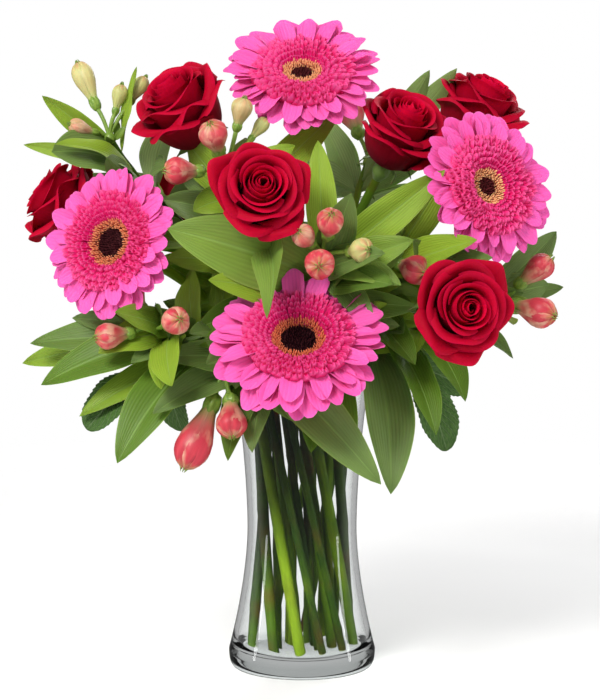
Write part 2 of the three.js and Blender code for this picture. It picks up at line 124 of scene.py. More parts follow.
# A bud is centre, length, radius, ripeness from green 0 to red 1. A leaf is the share of
# the free stem where it grows, tip, width, roll about its own length, arch and, where it
# curves sideways, how far.
ALSTROEMERIAS = {
    "upper_left": {
        "stem": ("middle", 152, (-112, 0, 314), -70, 60),
        "buds": (
            ((-127, 10, 347), 26, 7, 0.15), ((-108, 1, 339), 15, 5, 0.05),
            ((-97, 6, 344), 16, 5, 0.0), ((-128, -10, 322), 16, 5, 0.35),
        ),
        "leaves": (
            (0.9, (-165, 8, 312), 12, 0, 6), (0.94, (-152, -8, 341), 17, 0, -6),
            (0.9, (-144, -34, 309), 36, -25, 8), (0.8, (-79, -40, 300), 32, -22, 8),
            (0.7, (-120, 62, 290), 24, 0, 14), (0.8, (-112, -38, 306), 20, 0, 6),
            (0.95, (-97, 0, 358), 9, 0, 2), (0.5, (-134, -30, 262), 24, 0, 10),
        ),
    },
    "upper": {
        "stem": ("middle", 226, (-43, -44, 296), -20, 45),
        "buds": (
            ((-67, -58, 299), 20, 8.5, 0.9), ((-49, -62, 317), 20, 9, 0.75),
            ((-35, -50, 331), 16, 6.5, 0.2), ((-25, -40, 322), 14, 4.5, 0.0),
        ),
        "leaves": (
            (0.9, (-4, -42, 313), 20, 0, 10), (0.8, (-34, 12, 316), 26, 0, 10),
            (0.6, (-72, -10, 262), 26, 0, 12), (0.8, (23, 0, 333), 24, 0, 8),
            (0.85, (-62, -52, 276), 22, 0, 8), (0.72, (-19, -126, 222), 27, 15, 12, -24),
            (0.9, (-67, -16, 314), 26, -20, 8),
        ),
    },
    "centre": {
        "stem": ("middle", 298, (12, -60, 250), 5, 40),
        "buds": (
            ((15, -90, 270), 22, 8, 0.8), ((2, -88, 263), 20, 7, 0.65),
            ((10, -98, 250), 24, 9, 0.9), ((31, -88, 256), 16, 7.5, 0.1),
        ),
        "leaves": (
            (0.8, (-75, -84, 268), 44, -12, 20), (0.9, (40, -88, 214), 20, 0, 8),
            (0.8, (62, -86, 262), 27, 0, 12), (0.9, (27, -92, 288), 24, 0, 6),
            (0.9, (80, -72, 300), 26, 0, 2), (0.97, (9, -50, 316), 20, 0, 6),
            (0.95, (55, -92, 237), 24, 0, 8), (0.1, (5, -84, 142), 28, 0, 20),
            (0.15, (25, -88, 134), 30, 0, 22), (0.6, (-52, -92, 240), 26, 0, 10),
        ),
    },
    "right_centre": {
        "stem": ("inner", 262, (50, -40, 245), 30, 35),
        "buds": (((62, -60, 244), 24, 9, 1.0), ((58, -44, 274), 20, 8, 1.0)),
        "leaves": (
            (0.9, (104, -44, 250), 24, 0, 0), (0.6, (64, -70, 190), 28, 0, 10),
            (0.97, (88, -48, 308), 24, 0, 6), (0.93, (97, -90, 262), 24, 0, 6),
            (0.88, (106, -86, 252), 22, 0, 6), (0.5, (94, -30, 226), 24, 0, 8),
        ),
    },
    "right": {
        "stem": ("outer", 338, (112, -30, 222), 50, 15),
        "buds": (((134, -36, 240), 22, 8, 0.9), ((132, -48, 219), 27, 9.5, 0.9)),
        "leaves": (
            (0.92, (149, -14, 262), 26, 0, 6), (0.85, (154, -10, 229), 16, 0, 6),
            (0.5, (93, -62, 168), 30, 0, 14), (0.7, (122, -40, 190), 18, 0, 10),
            (0.25, (50, -82, 118), 36, 0, 20), (0.5, (96, 62, 214), 26, 0, 16),
            (0.97, (141, -52, 216), 18, 0, 3), (0.35, (76, -70, 150), 26, 0, 16),
        ),
    },
    "left": {
        "stem": ("outer", 220, (-82, -55, 208), -40, 15),
        "buds": (
            ((-106, -70, 207), 20, 8, 0.85), ((-72, -86, 216), 20, 8.5, 0.8),
            ((-94, -58, 228), 16, 6.5, 0.8),
        ),
        "leaves": (
            (0.85, (-150, -50, 176), 30, 0, 12), (0.7, (-165, -12, 184), 24, 0, 12),
            (0.8, (-78, -100, 180), 24, 0, 8), (0.5, (-104, -84, 136), 36, 0, 20),
            (0.9, (-71, -118, 184), 24, 0, 8), (0.8, (-158, -32, 198), 26, 0, 8),
            (0.9, (-104, -92, 222), 20, 0, 6), (0.4, (-128, -52, 158), 26, 0, 14),
        ),
    },
    "lower": {
        "stem": ("outer", 247, (-40, -60, 188), -35, 0),
        "buds": (((-58, -74, 152), 38, 11, 1.0), ((-40, -80, 162), 22, 9.5, 0.95)),
        "leaves": (
            (0.5, (-42, -76, 136), 24, 0, 18), (0.45, (44, -96, 126), 34, 0, 26),
            (0.3, (-28, -84, 142), 26, 0, 14), (0.6, (-84, -84, 164), 26, 0, 10),
        ),
    },
    "back": {
        "stem": ("outer", 56, (40, 60, 298), 150, 50),
        "buds": (
            ((54, 80, 322), 22, 8, 0.7), ((32, 82, 326), 24, 9, 0.9),
            ((62, 62, 314), 18, 7, 0.4),
        ),
        "leaves": (
            (0.9, (76, 20, 356), 20, 0, 4), (0.85, (-20, 92, 296), 28, 0, 10),
            (0.75, (104, 78, 268), 30, 0, 12), (0.6, (-26, 80, 246), 28, 0, 10),
            (0.5, (36, 124, 216), 32, 0, 22), (0.35, (-34, 108, 176), 32, 0, 26),
            (0.9, (92, 16, 357), 20, 0, 4), (0.8, (10, 100, 330), 26, 0, 8),
        ),
    },
}

# A spray is the rose stem that carries it, its stalk's two ends and its leaflets: the
# share of the stalk where one grows, its tip and its width.
ROSE_LEAVES = {
    "left": {
        "stem": "upper_left", "root": (-52, -34, 196), "end": (-92, -40, 182),
        "leaflets": (
            (1, (-124, -50, 150), 30), (0.72, (-70, -30, 146), 24),
            (0.72, (-104, -16, 164), 24),
        ),
    },
    "right": {
        "stem": "right", "root": (40, -22, 196), "end": (68, -30, 180),
        "leaflets": ((1, (84, -40, 136), 30), (0.6, (98, -6, 168), 24)),
    },
}


# ---- the sizes and colours that a user would change

def length(name, description, default):
    return bpy.props.FloatProperty(
        name=name, description=description, default=default, min=0, unit="LENGTH", precision=4,
    )


def number(name, description, default):
    return bpy.props.IntProperty(name=name, description=description, default=default, min=1)


def colour(name, description, default):
    return bpy.props.FloatVectorProperty(
        name=name, description=description, default=default, subtype="COLOR", min=0, max=1,
    )


class VaseSettings(bpy.types.PropertyGroup):
    height: length("Height", "From the table to the rim", VASE_TOP)
    foot_radius: length("Foot radius", "Of the flat face it stands on", 0.0415)
    flare_radius: length("Flare radius", "Where the foot is widest", 0.044)
    flare_height: length("Flare height", "Where the foot is widest", 0.010)
    waist_radius: length("Waist radius", "Where the wall is narrowest", 0.0327)
    waist_height: length("Waist height", "Where the wall is narrowest", 0.084)
    rim_radius: length("Rim radius", "Outside radius at the top", 0.041)
    wall: length("Wall", "Thickness of the glass wall", 0.003)
    floor: length("Floor", "Thickness of the glass base", 0.009)
    tint: colour("Tint", "Colour of the glass", (0.975, 0.99, 0.985))
    # the base tint is partly painted reflection of what the thick foot shows
    base: colour("Base tint", "Colour of the thick glass of the base", (0.7, 0.74, 0.73))


class GerberaSettings(bpy.types.PropertyGroup):
    rays: number("Rays", "Broad petals in each of the outer rows", BROAD_RAYS)
    eye_radius: length("Eye radius", "Of the widest dark centre", 0.0106)
    ray: colour("Petal", "Outer end of the broad petals", (0.88, 0.09, 0.4))
    deep: colour("Petal base", "Inner end of the broad petals", (0.68, 0.004, 0.15))
    floret: colour("Floret", "Narrow inner florets", (0.66, 0.005, 0.135))
    crown: colour("Crown", "Filaments round the darkest eye", (0.78, 0.22, 0.1))
    pale_crown: colour("Pale crown", "Filaments round the palest eye", (0.93, 0.56, 0.27))
    eye: colour("Eye", "Darkest centre", (0.022, 0.003, 0.007))
    pale_eye: colour("Pale eye", "Palest centre", (0.09, 0.009, 0.012))
    stem: colour("Stem", "Stem below the head", (0.24, 0.38, 0.012))


class RoseSettings(bpy.types.PropertyGroup):
    petals: number("Petals", "Petals in one bloom", 21)
    petal: colour("Petal", "Velvet inner face", (0.39, 0.0007, 0.018))
    back: colour("Petal back", "Outer face near the base", (0.16, 0.003, 0.012))
    stem: colour("Stem", "Stem and sepals", (0.11, 0.22, 0.01))
    leaf: colour("Leaf", "Leaflets", (0.04, 0.1, 0.018))


class AlstroemeriaSettings(bpy.types.PropertyGroup):
    leaf: colour("Leaf", "Upper face of the leaves", (0.095, 0.18, 0.014))
    # the lightest leaves: young ones, and the high ones whose painted light lifts their tone
    young_and_lit: colour("Young leaf", "Upper face of the lightest leaves", (0.26, 0.39, 0.03))
    under: colour("Leaf underside", "Lower face of the leaves", (0.27, 0.38, 0.12))
    bud: colour("Bud", "Ripe buds", (0.58, 0.035, 0.06))
    cream: colour("Bud edge", "Petal edges and unripe buds", (0.74, 0.42, 0.28))
    green: colour("Bud green", "Ovary and petal tips", (0.24, 0.36, 0.05))


class StageSettings(bpy.types.PropertyGroup):
    floor: colour("Floor", "Colour of the floor", (0.93, 0.93, 0.93))
    reach: length("Camera distance", "From the vase's axis to the camera", 1.4)
    eye_height: length("Camera height", "Height of the camera", 0.35)
    aim_height: length("Aim height", "Height that the camera looks at", 0.1905)


# ---- node trees written as sums

class Wire:
    """One node's output. A sum on it adds Math nodes to its tree."""

    def __init__(self, tree, socket):
        self.tree = tree
        self.socket = socket

    def __add__(self, other):
        return self.tree.math("ADD", self, other)

    __radd__ = __add__

    def __sub__(self, other):
        return self.tree.math("SUBTRACT", self, other)

    def __rsub__(self, other):
        return self.tree.math("SUBTRACT", other, self)

    def __mul__(self, other):
        return self.tree.math("MULTIPLY", self, other)

    __rmul__ = __mul__

    def __truediv__(self, other):
        return self.tree.math("DIVIDE", self, other)

    def __rtruediv__(self, other):
        return self.tree.math("DIVIDE", other, self)

    def __gt__(self, other):
        return self.tree.math("GREATER_THAN", self, other)


def socket_of(sockets, key):
    """A socket by its number, its identifier or its name."""
    if isinstance(key, int):
        return sockets[key]
    for socket in sockets:
        if socket.identifier == key:
            return socket
    return sockets[key]


class Tree:
    """Adds nodes to the tree of a material, a world or a modifier."""

    def __init__(self, node_tree):
        self.node_tree = node_tree

    def add(self, kind, settings=None, inputs=None, output=0):
        node = self.node_tree.nodes.new(kind)
        for key, value in (settings or {}).items():
            setattr(node, key, value)
        for key, value in (inputs or {}).items():
            self.plug(socket_of(node.inputs, key), value)
        return Wire(self, socket_of(node.outputs, output))

    def plug(self, socket, value):
        if isinstance(value, Wire):
            self.node_tree.links.new(value.socket, socket)
        else:
            socket.default_value = value

    def math(self, operation, *values):
        return self.add("ShaderNodeMath", {"operation": operation}, dict(enumerate(values)))

    def larger(self, first, second):
        return self.math("MAXIMUM", first, second)

    def split(self, vector):
        """The X, Y and Z of a vector."""
        node = self.add("ShaderNodeSeparateXYZ", {}, {0: vector}).socket.node
        return [Wire(self, output) for output in node.outputs]

    def light_path(self, output):
        return self.add("ShaderNodeLightPath", output=output)

    def sine(self, value):
        return self.math("SINE", value)

    def ease(self, value, low, high):
        """0 below low, 1 above high and a smooth step between them."""
        inputs = {"Value": value, "From Min": low, "From Max": high}
        return self.add("ShaderNodeMapRange", {"interpolation_type": "SMOOTHSTEP"}, inputs)

    def clamp(self, value):
        return self.add("ShaderNodeClamp", {}, {"Value": value})

    def off(self, value, centre=0.5):
        """How far a value is from a centre."""
        return self.math("ABSOLUTE", value - centre)

    def band(self, value, centre, width):
        """1 at the centre of a band and 0 outside it."""
        return self.clamp(1 - self.off(value, centre) / width)


SHADER_SOCKETS = {
    "sheen": "Sheen Weight", "sheen_roughness": "Sheen Roughness", "sheen_tint": "Sheen Tint",
    "soft": "Subsurface Weight", "soft_reach": "Subsurface Radius", "soft_scale": "Subsurface Scale",
    "coat": "Coat Weight", "coat_roughness": "Coat Roughness", "roughness": "Roughness",
    "specular": "Specular IOR Level", "transmission": "Transmission Weight", "ior": "IOR",
}


class Finish(Tree):
    """A material with one Principled shader that reads the grain and the tone of a piece."""

    def __init__(self, name, **fixed):
        self.material = bpy.data.materials.new(name)
        self.material.use_nodes = True
        super().__init__(self.material.node_tree)
        self.shader = self.node_tree.nodes["Principled BSDF"]
        for key, value in fixed.items():
            self.shader.inputs[SHADER_SOCKETS[key]].default_value = value

    def grain(self):
        """Across 0..1, along 0..1 and a mask of the underside."""
        across, along, _ = self.split(self.add("ShaderNodeUVMap", {"uv_map": "grain"}))
        below = across > 1.5
        return across - 2 * below, along, below

    def tone(self):
        return self.add("ShaderNodeAttribute", {"attribute_name": "tone"}, output="Fac")

    def place(self):
        return self.add("ShaderNodeTexCoord", output="Object")

    def mix(self, factor, first, second):
        """From the first colour to the second as the factor goes from 0 to 1."""
        colours = [c if isinstance(c, Wire) else (*c, 1) for c in (first, second)]
        inputs = {"Factor_Float": factor, "A_Color": colours[0], "B_Color": colours[1]}
        return self.add("ShaderNodeMix", {"data_type": "RGBA"}, inputs, "Result_Color")

    def noise(self, scale, detail, place):
        inputs = {"Scale": scale, "Detail": detail, "Vector": place}
        return self.add("ShaderNodeTexNoise", {}, inputs, "Fac")

    def streaks(self, across, along, wide, high, detail=2):
        """Noise stretched along the piece."""
        tone = self.tone() * 37
        place = self.add("ShaderNodeCombineXYZ", {}, {0: across * wide, 1: along * high, 2: tone})
        return self.noise(1, detail, place)

    def shaded(self, colour, value):
        """The colour made lighter or darker by a factor that varies."""
        return self.add("ShaderNodeVectorMath", {"operation": "SCALE"}, {0: colour, "Scale": value})

    def paint(self, colour, roughness, height=None, depth=0.0):
        """Plugs what varies: the colour, the roughness and a bump whose depth is in mm."""
        self.plug(self.shader.inputs["Base Color"], colour)
        self.plug(self.shader.inputs["Roughness"], roughness)
        if height is not None:
            inputs = {"Height": height, "Distance": depth * MM}
            self.plug(self.shader.inputs["Normal"], self.add("ShaderNodeBump", {}, inputs))
        return self.material


# how far light soaks into a petal or a leaf, in metres
THIN = 0.0012


def ray_finish(settings):
    look = Finish(
        "gerbera_ray", sheen=0.05, sheen_roughness=0.4, specular=0.2,
        soft=0.25, soft_reach=(1, 0.3, 0.6), soft_scale=THIN,
    )
    across, along, below = look.grain()
    pleat = look.sine(across * 6 * math.pi * 2)
    fine = look.streaks(across, along, 26, 1.6)
    light = look.mix(look.tone() * 0.6, settings.ray, (0.93, 0.16, 0.5))
    hue = look.mix(look.ease(along, 0.12, 0.62), settings.deep, light)
    hue = look.mix(below * 0.35, hue, settings.deep)
    # painted shade and light along the pleats: the colour is darker in their grooves and lighter on
    # their ridges, as well as the bump; the fine streaks are the petal's own mottle
    hue = look.shaded(hue, 0.9 + 0.04 * pleat + 0.16 * fine)
    return look.paint(hue, 0.5 + 0.15 * fine, pleat * 0.35 + fine, 0.2)


def floret_finish(settings):
    look = Finish(
        "gerbera_floret", specular=0.18, soft=0.15, soft_reach=(1, 0.25, 0.5), soft_scale=THIN,
    )
    across, along, _ = look.grain()
    fine = look.streaks(across, along, 8, 2)
    tip = look.ease(along, 0.8, 1)
    hue = look.mix(tip * (0.35 + 0.65 * look.tone()), settings.floret, (0.86, 0.13, 0.37))
    # painted shade: darker towards the floret's base, where the florets crowd over each other
    hue = look.mix((1 - look.ease(along, 0.1, 0.6)) * 0.6, hue, (0.45, 0.001, 0.07))
    edge = look.ease(look.off(across), 0.3, 0.5)
    hue = look.mix(edge * 0.4, hue, (0.84, 0.06, 0.3))
    return look.paint(look.shaded(hue, 0.85 + 0.3 * fine), 0.45 + 0.2 * fine, fine, 0.15)


def crown_finish(name, crown):
    look = Finish(name, specular=0.3, soft=0.15, soft_scale=THIN)
    across, along, _ = look.grain()
    hue = look.mix(look.ease(along, 0.2, 0.8), (0.45, 0.05, 0.04), crown)
    hue = look.mix(look.ease(look.tone(), 0.5, 1) * 0.6, hue, (0.8, 0.1, 0.16))
    return look.paint(hue, 0.55 + 0.1 * look.tone(), look.streaks(across, along, 5, 9), 0.1)


def eye_finish(name, eye):
    look = Finish(name, specular=0.2)
    across, along, _ = look.grain()
    hue = look.mix(look.ease(along, 0.6, 1) * 0.4 * look.tone(), eye, (0.2, 0.03, 0.03))
    return look.paint(hue, 0.6 + 0.2 * look.tone(), look.streaks(across, along, 4, 6), 0.1)


def bract_finish(settings):
    look = Finish("gerbera_bract", sheen=0.3, specular=0.3)
    across, along, _ = look.grain()
    fur = look.streaks(across, along, 30, 5, 4)
    hue = look.mix(look.ease(along, 0.6, 1), settings.stem, (0.1, 0.05, 0.02))
    return look.paint(look.shaded(hue, 0.7 + 0.6 * fur), 0.7 - 0.1 * fur, fur, 0.3)


def stem_finish(name, light, dark, rib_count, blush):
    """A stem: lengthwise fibres, slow changes of green and a pale wet cut at its foot."""
    look = Finish(name, coat=0.06, coat_roughness=0.25, specular=0.2)
    across, along, _ = look.grain()
    place = look.place()
    height = look.split(place)[2]
    fibre = look.streaks(across, along, rib_count, 6, 3)
    slow = look.noise(24, 2, place)
    hue = look.mix(look.ease(slow + 0.35 * look.tone(), 0.45, 0.85), light, dark)
    hue = look.mix(look.ease(look.noise(40, 3, place), 0.48, 0.74) * blush, hue, (0.13, 0.045, 0.012))
    hue = look.shaded(hue, 0.75 + 0.5 * fibre)
    cut = 1 - look.ease(height, (FOOT_HEIGHT + 0.2) * MM, (FOOT_HEIGHT + 1.4) * MM)
    hue = look.mix(cut * 0.7, hue, (0.36, 0.42, 0.2))
    return look.paint(hue, 0.38 + 0.25 * fibre, fibre, 0.4)


def rose_finish(settings):
    look = Finish(
        "rose_petal", sheen=0.06, sheen_roughness=0.4, sheen_tint=(1, 0.05, 0.18, 1), specular=0.06,
        soft=0.15, soft_reach=(1, 0.08, 0.08), soft_scale=2 * THIN,
    )
    across, along, below = look.grain()
    vein = look.streaks(across, along, 34, 2.2, 3)
    patch = look.streaks(across, along, 3, 2, 2)
    # painted shade: darker towards the petal's base, deep in the cup between the petals
    hue = look.mix(look.ease(along, 0.2, 0.8), (0.3, 0.0006, 0.01), settings.petal)
    hue = look.mix(look.ease(patch, 0.45, 0.8) * 0.3, hue, (0.31, 0.0008, 0.012))
    lower = 1 - look.ease(along, 0.35, 0.92)
    hue = look.mix(below * lower, hue, settings.back)
    # painted highlight along the petal's lip
    hue = look.mix(look.ease(along, 0.93, 1) * 0.4, hue, (0.56, 0.002, 0.04))
    # painted light: the petals of the heart, whose tone is low, are painted lighter to lift the shade
    # deep in the bloom
    heart = 1 - look.ease(look.tone(), 0.1, 0.55)
    hue = look.mix(heart * 0.75, hue, (0.68, 0.002, 0.04))
    hue = look.shaded(hue, 0.88 + 0.24 * vein)
    return look.paint(hue, 0.5 + 0.2 * vein, vein, 0.22)


def sepal_finish(settings):
    look = Finish("rose_sepal", specular=0.35, sheen=0.15)
    across, along, _ = look.grain()
    fine = look.streaks(across, along, 12, 4, 3)
    hue = look.mix(look.ease(fine, 0.35, 0.7), settings.stem, (0.16, 0.25, 0.06))
    hue = look.mix(look.ease(along, 0.75, 1) * 0.5, hue, (0.2, 0.07, 0.03))
    return look.paint(hue, 0.5 + 0.2 * fine, fine, 0.3)


def leaf_finish(settings):
    look = Finish(
        "alstroemeria_leaf", coat=0.06, coat_roughness=0.35, specular=0.28,
        soft=0.12, soft_reach=(0.4, 1, 0.1), soft_scale=THIN,
    )
    across, along, below = look.grain()
    middle = look.band(across, 0.5, 0.035)
    vein = look.sine(across * 2 * math.pi * 15) * 0.5 + 0.5
    cloud = look.streaks(across, along, 2.5, 3)
    fine = look.streaks(across, along, 60, 5, 3)
    # the tone is random plus painted light by height, so high leaves lean to the young and lit colour
    # and low ones stay dark in painted shade
    top = look.mix(look.ease(look.tone() + 0.3 * cloud, 0.3, 1.3), settings.leaf, settings.young_and_lit)
    greyer = look.clamp(look.band(look.tone(), 0.45, 0.3) * 1.5)
    top = look.mix(greyer * 0.55, top, (0.15, 0.22, 0.085))
    top = look.shaded(top, 0.72 + 0.25 * fine + 0.12 * vein + 0.2 * cloud)
    low = look.shaded(look.mix(fine * 0.5, settings.under, (0.17, 0.3, 0.07)), 0.8 + 0.2 * vein)
    hue = look.mix(below, top, low)
    hue = look.mix(middle * 0.5, hue, (0.26, 0.42, 0.1))
    edge = look.ease(look.off(across), 0.475, 0.5)
    hue = look.mix(edge * 0.5, hue, (0.3, 0.42, 0.08))
    return look.paint(hue, 0.36 + 0.2 * fine + 0.12 * below, vein * 0.7 - middle + fine, 0.16)


def bud_finish(settings):
    look = Finish(
        "alstroemeria_bud", coat=0.12, coat_roughness=0.35,
        soft=0.15, soft_reach=(1, 0.35, 0.25), soft_scale=THIN,
    )
    across, along, _ = look.grain()
    ripe = look.tone()
    streak = look.streaks(across, along, 9, 1.6, 3)
    side = look.ease(look.off(across), 0.12, 0.5)
    patch = look.streaks(across, along, 2.2, 2.6, 3)
    pale = look.clamp(side * 0.25 + look.ease(patch, 0.42, 0.68) * 0.75 + (1 - ripe) * 1.1 - 0.2)
    hue = look.mix(pale, settings.bud, settings.cream)
    neck = 1 - look.ease(along + 0.2 * streak, 0.2, 0.62)
    hue = look.mix(neck * 0.55, hue, settings.cream)
    foot = 1 - look.ease(along, 0.02, 0.3)
    hue = look.mix(foot * 0.75, hue, settings.green)
    tip = look.ease(along + 0.08 * streak, 0.92, 1.02) * look.band(across, 0.5, 0.4)
    hue = look.mix(tip * 0.45, hue, settings.green)
    unripe = look.ease(1 - ripe, 0.5, 0.95)
    hue = look.mix(unripe * 0.85, hue, (0.5, 0.56, 0.17))
    blush = look.ease(along + 0.5 * streak, 0.95, 1.2) * look.band(across, 0.5, 0.3)
    hue = look.mix(unripe * blush * 0.7, hue, (0.6, 0.12, 0.09))
    return look.paint(look.shaded(hue, 0.66 + 0.6 * streak), 0.4 + 0.25 * streak, streak, 0.3)


def ovary_finish(settings):
    look = Finish("alstroemeria_green", coat=0.15, specular=0.4)
    across, along, _ = look.grain()
    fine = look.streaks(across, along, 14, 3)
    hue = look.mix(look.ease(fine, 0.3, 0.7), settings.green, (0.13, 0.25, 0.03))
    return look.paint(hue, 0.4 + 0.2 * fine, fine, 0.25)


def rose_leaf_finish(settings):
    look = Finish("rose_leaf", specular=0.22)
    across, along, below = look.grain()
    aside = look.off(across)
    middle = look.clamp(1 - aside / 0.03)
    vein = look.math("PINGPONG", along * 9 - aside * 7, 0.5)
    vein = 1 - look.ease(vein, 0.0, 0.16)
    crinkle = look.streaks(across, along, 22, 22, 3)
    hue = look.mix(look.ease(crinkle, 0.3, 0.75), settings.leaf, (0.08, 0.16, 0.035))
    hue = look.mix(look.clamp(vein * 0.55 + middle), hue, (0.17, 0.26, 0.11))
    hue = look.mix(below * 0.7, hue, (0.16, 0.25, 0.13))
    return look.paint(hue, 0.5 + 0.15 * crinkle, crinkle - vein - middle, 0.45)


def glass_finish(settings):
    """Clear glass that lets the lamps reach what stands inside it, greyer and streaked in its thick
    base, partly the tint of thick glass and partly painted reflection of what the foot shows, and
    darker where its wall is seen edge-on, a painted shade."""
    look = Finish("clear_glass", transmission=1, ior=1.46, roughness=0.015)
    place = look.place()
    height = look.split(place)[2]
    # greyer and streaked in the thick base: the tint of thick glass, and painted reflection of the
    # stems and floor seen through the foot
    thick = (1 - look.ease(height, 0.006, 0.013)) * (0.7 + 0.6 * look.noise(70, 2, place))
    tint = look.mix(thick, settings.tint, settings.base)
    # painted shade where the wall is seen edge-on, above the foot
    rim = look.ease(look.add("ShaderNodeLayerWeight", {}, {"Blend": 0.5}, "Facing"), 0.75, 1)
    rim = rim * look.ease(height, 0.01, 0.03)
    tint = look.mix(rim * 0.45, tint, (0.5, 0.52, 0.51))
    look.paint(tint, 0.012 + 0.02 * look.noise(160, 2, place))
    glass = Wire(look, look.shader.outputs[0])
    clear = look.add("ShaderNodeBsdfTransparent", {}, {"Color": (*settings.tint, 1)})
    inputs = {0: look.light_path("Is Shadow Ray"), 1: glass, 2: clear}
    both = look.add("ShaderNodeMixShader", {}, inputs)
    look.plug(look.node_tree.nodes["Material Output"].inputs["Surface"], both)
    return look.material


def floor_finish(settings):
    """A pale floor that fades out far from the vase."""
    look = Finish("pale_floor", specular=0.2)
    place = look.place()
    distance = look.add("ShaderNodeVectorMath", {"operation": "LENGTH"}, {0: place}, "Value")
    mottle = look.noise(9, 3, place)
    colour = look.shaded(tuple(settings.floor), 0.98 + 0.04 * mottle)
    look.plug(look.shader.inputs["Alpha"], 1 - look.ease(distance, 0.35, 0.95))
    return look.paint(colour, 0.75 + 0.1 * mottle)


# ---- shapes

def unit(vector):
    return vector / np.linalg.norm(vector)


def units(rows):
    return rows / np.linalg.norm(rows, axis=1, keepdims=True)


def face_grid(rows, columns):
    """Along 0..1 and across -1..1 at every point of the face of a petal."""
    return np.meshgrid(np.linspace(0, 1, rows), np.linspace(-1, 1, columns), indexing="ij")


def polar(radius, angle, height):
    """Points at a radius, an angle and a height about +Z."""
    return np.stack([radius * np.cos(angle), radius * np.sin(angle), height], -1)


def spoke(angle):
    """The level direction at an angle from +X."""
    return np.array([math.cos(angle), math.sin(angle), 0])


def facing(turn, lift):
    """The direction that a head with this turn and lift faces."""
    turn, lift = math.radians(turn), math.radians(lift)
    level = math.cos(lift)
    return np.array([math.sin(turn) * level, -math.cos(turn) * level, math.sin(lift)])


def pose(centre, axis, spin=0):
    """Takes local +Z to the axis and the origin to the centre, after a spin about +Z."""
    turn = Vector(UP).rotation_difference(Vector(axis)).to_matrix().to_4x4()
    return Matrix.Translation(Vector(centre)) @ turn @ Matrix.Rotation(math.radians(spin), 4, "Z")


def bezier(controls, share):
    """Points of a Bezier curve of any degree."""
    degree = len(controls) - 1
    weights = [
        math.comb(degree, i) * share**i * (1 - share) ** (degree - i) for i in range(degree + 1)
    ]
    return np.stack(weights, -1) @ np.array(controls, float)


def smoothstep(value, low, high):
    t = np.clip((value - low) / (high - low), 0, 1)
    return t * t * (3 - 2 * t)


class Stem:
    """The line of one stem: straight through the twisted bundle, then free to its flower."""

    def __init__(self, ring, exit_turn, end, axis):
        radius = BUNDLE_RADIUS[ring]
        turn = math.radians(exit_turn) + math.atan((MOUTH_HEIGHT - NECK_HEIGHT) / TWIST_LENGTH)
        x, y = radius * math.cos(turn), radius * math.sin(turn)

        def in_bundle(z):
            t = (z - NECK_HEIGHT) / TWIST_LENGTH
            return np.array([x + t * y, y - t * x, z])

        self.foot = in_bundle(FOOT_HEIGHT)
        mouth = in_bundle(MOUTH_HEIGHT)
        climb = unit(mouth - self.foot)
        end = np.array(end, float)
        reach = np.linalg.norm(end - mouth)
        controls = [mouth, mouth + climb * reach * 0.38, end - axis * reach * 0.36, end]
        self.free = bezier(controls, np.linspace(0, 1, 61))
        steps = np.linalg.norm(np.diff(self.free, axis=0), axis=1)
        self.run = np.concatenate([[0], np.cumsum(steps)])

    def at(self, share):
        """The point and the direction at a share of the free length."""
        near, far = (self.point(share + offset) for offset in (-0.01, 0.01))
        return self.point(share), unit(far - near)

    def point(self, share):
        goal = np.clip(share, 0, 1) * self.run[-1]
        return np.array([np.interp(goal, self.run, self.free[:, i]) for i in range(3)])

    def line(self, step):
        """Points from the foot to the flower, a step apart, with a longer first stretch."""
        straight = np.linalg.norm(self.free[0] - self.foot)
        shares = np.concatenate([[0], np.arange(8, straight, step) / straight])
        low = self.foot + shares[:, None] * (self.free[0] - self.foot)
        count = max(8, round(self.run[-1] / step))
        high = [self.point(share) for share in np.linspace(0, 1, count + 1)]
        return np.concatenate([low, high])


def corners(index):
    """The four corners of every cell of a grid of point numbers."""
    cells = [index[:-1, :-1], index[:-1, 1:], index[1:, 1:], index[1:, :-1]]
    return np.stack(cells, -1).reshape(-1, 4)


def grid_grain(rows, columns):
    """Across and along, each 0..1, at the corners of every cell of a grid."""
    across, along = np.meshgrid(np.linspace(0, 1, columns), np.linspace(0, 1, rows))
    index = np.arange(rows * columns).reshape(rows, columns)
    return np.stack([across, along], -1).reshape(-1, 2)[corners(index)]


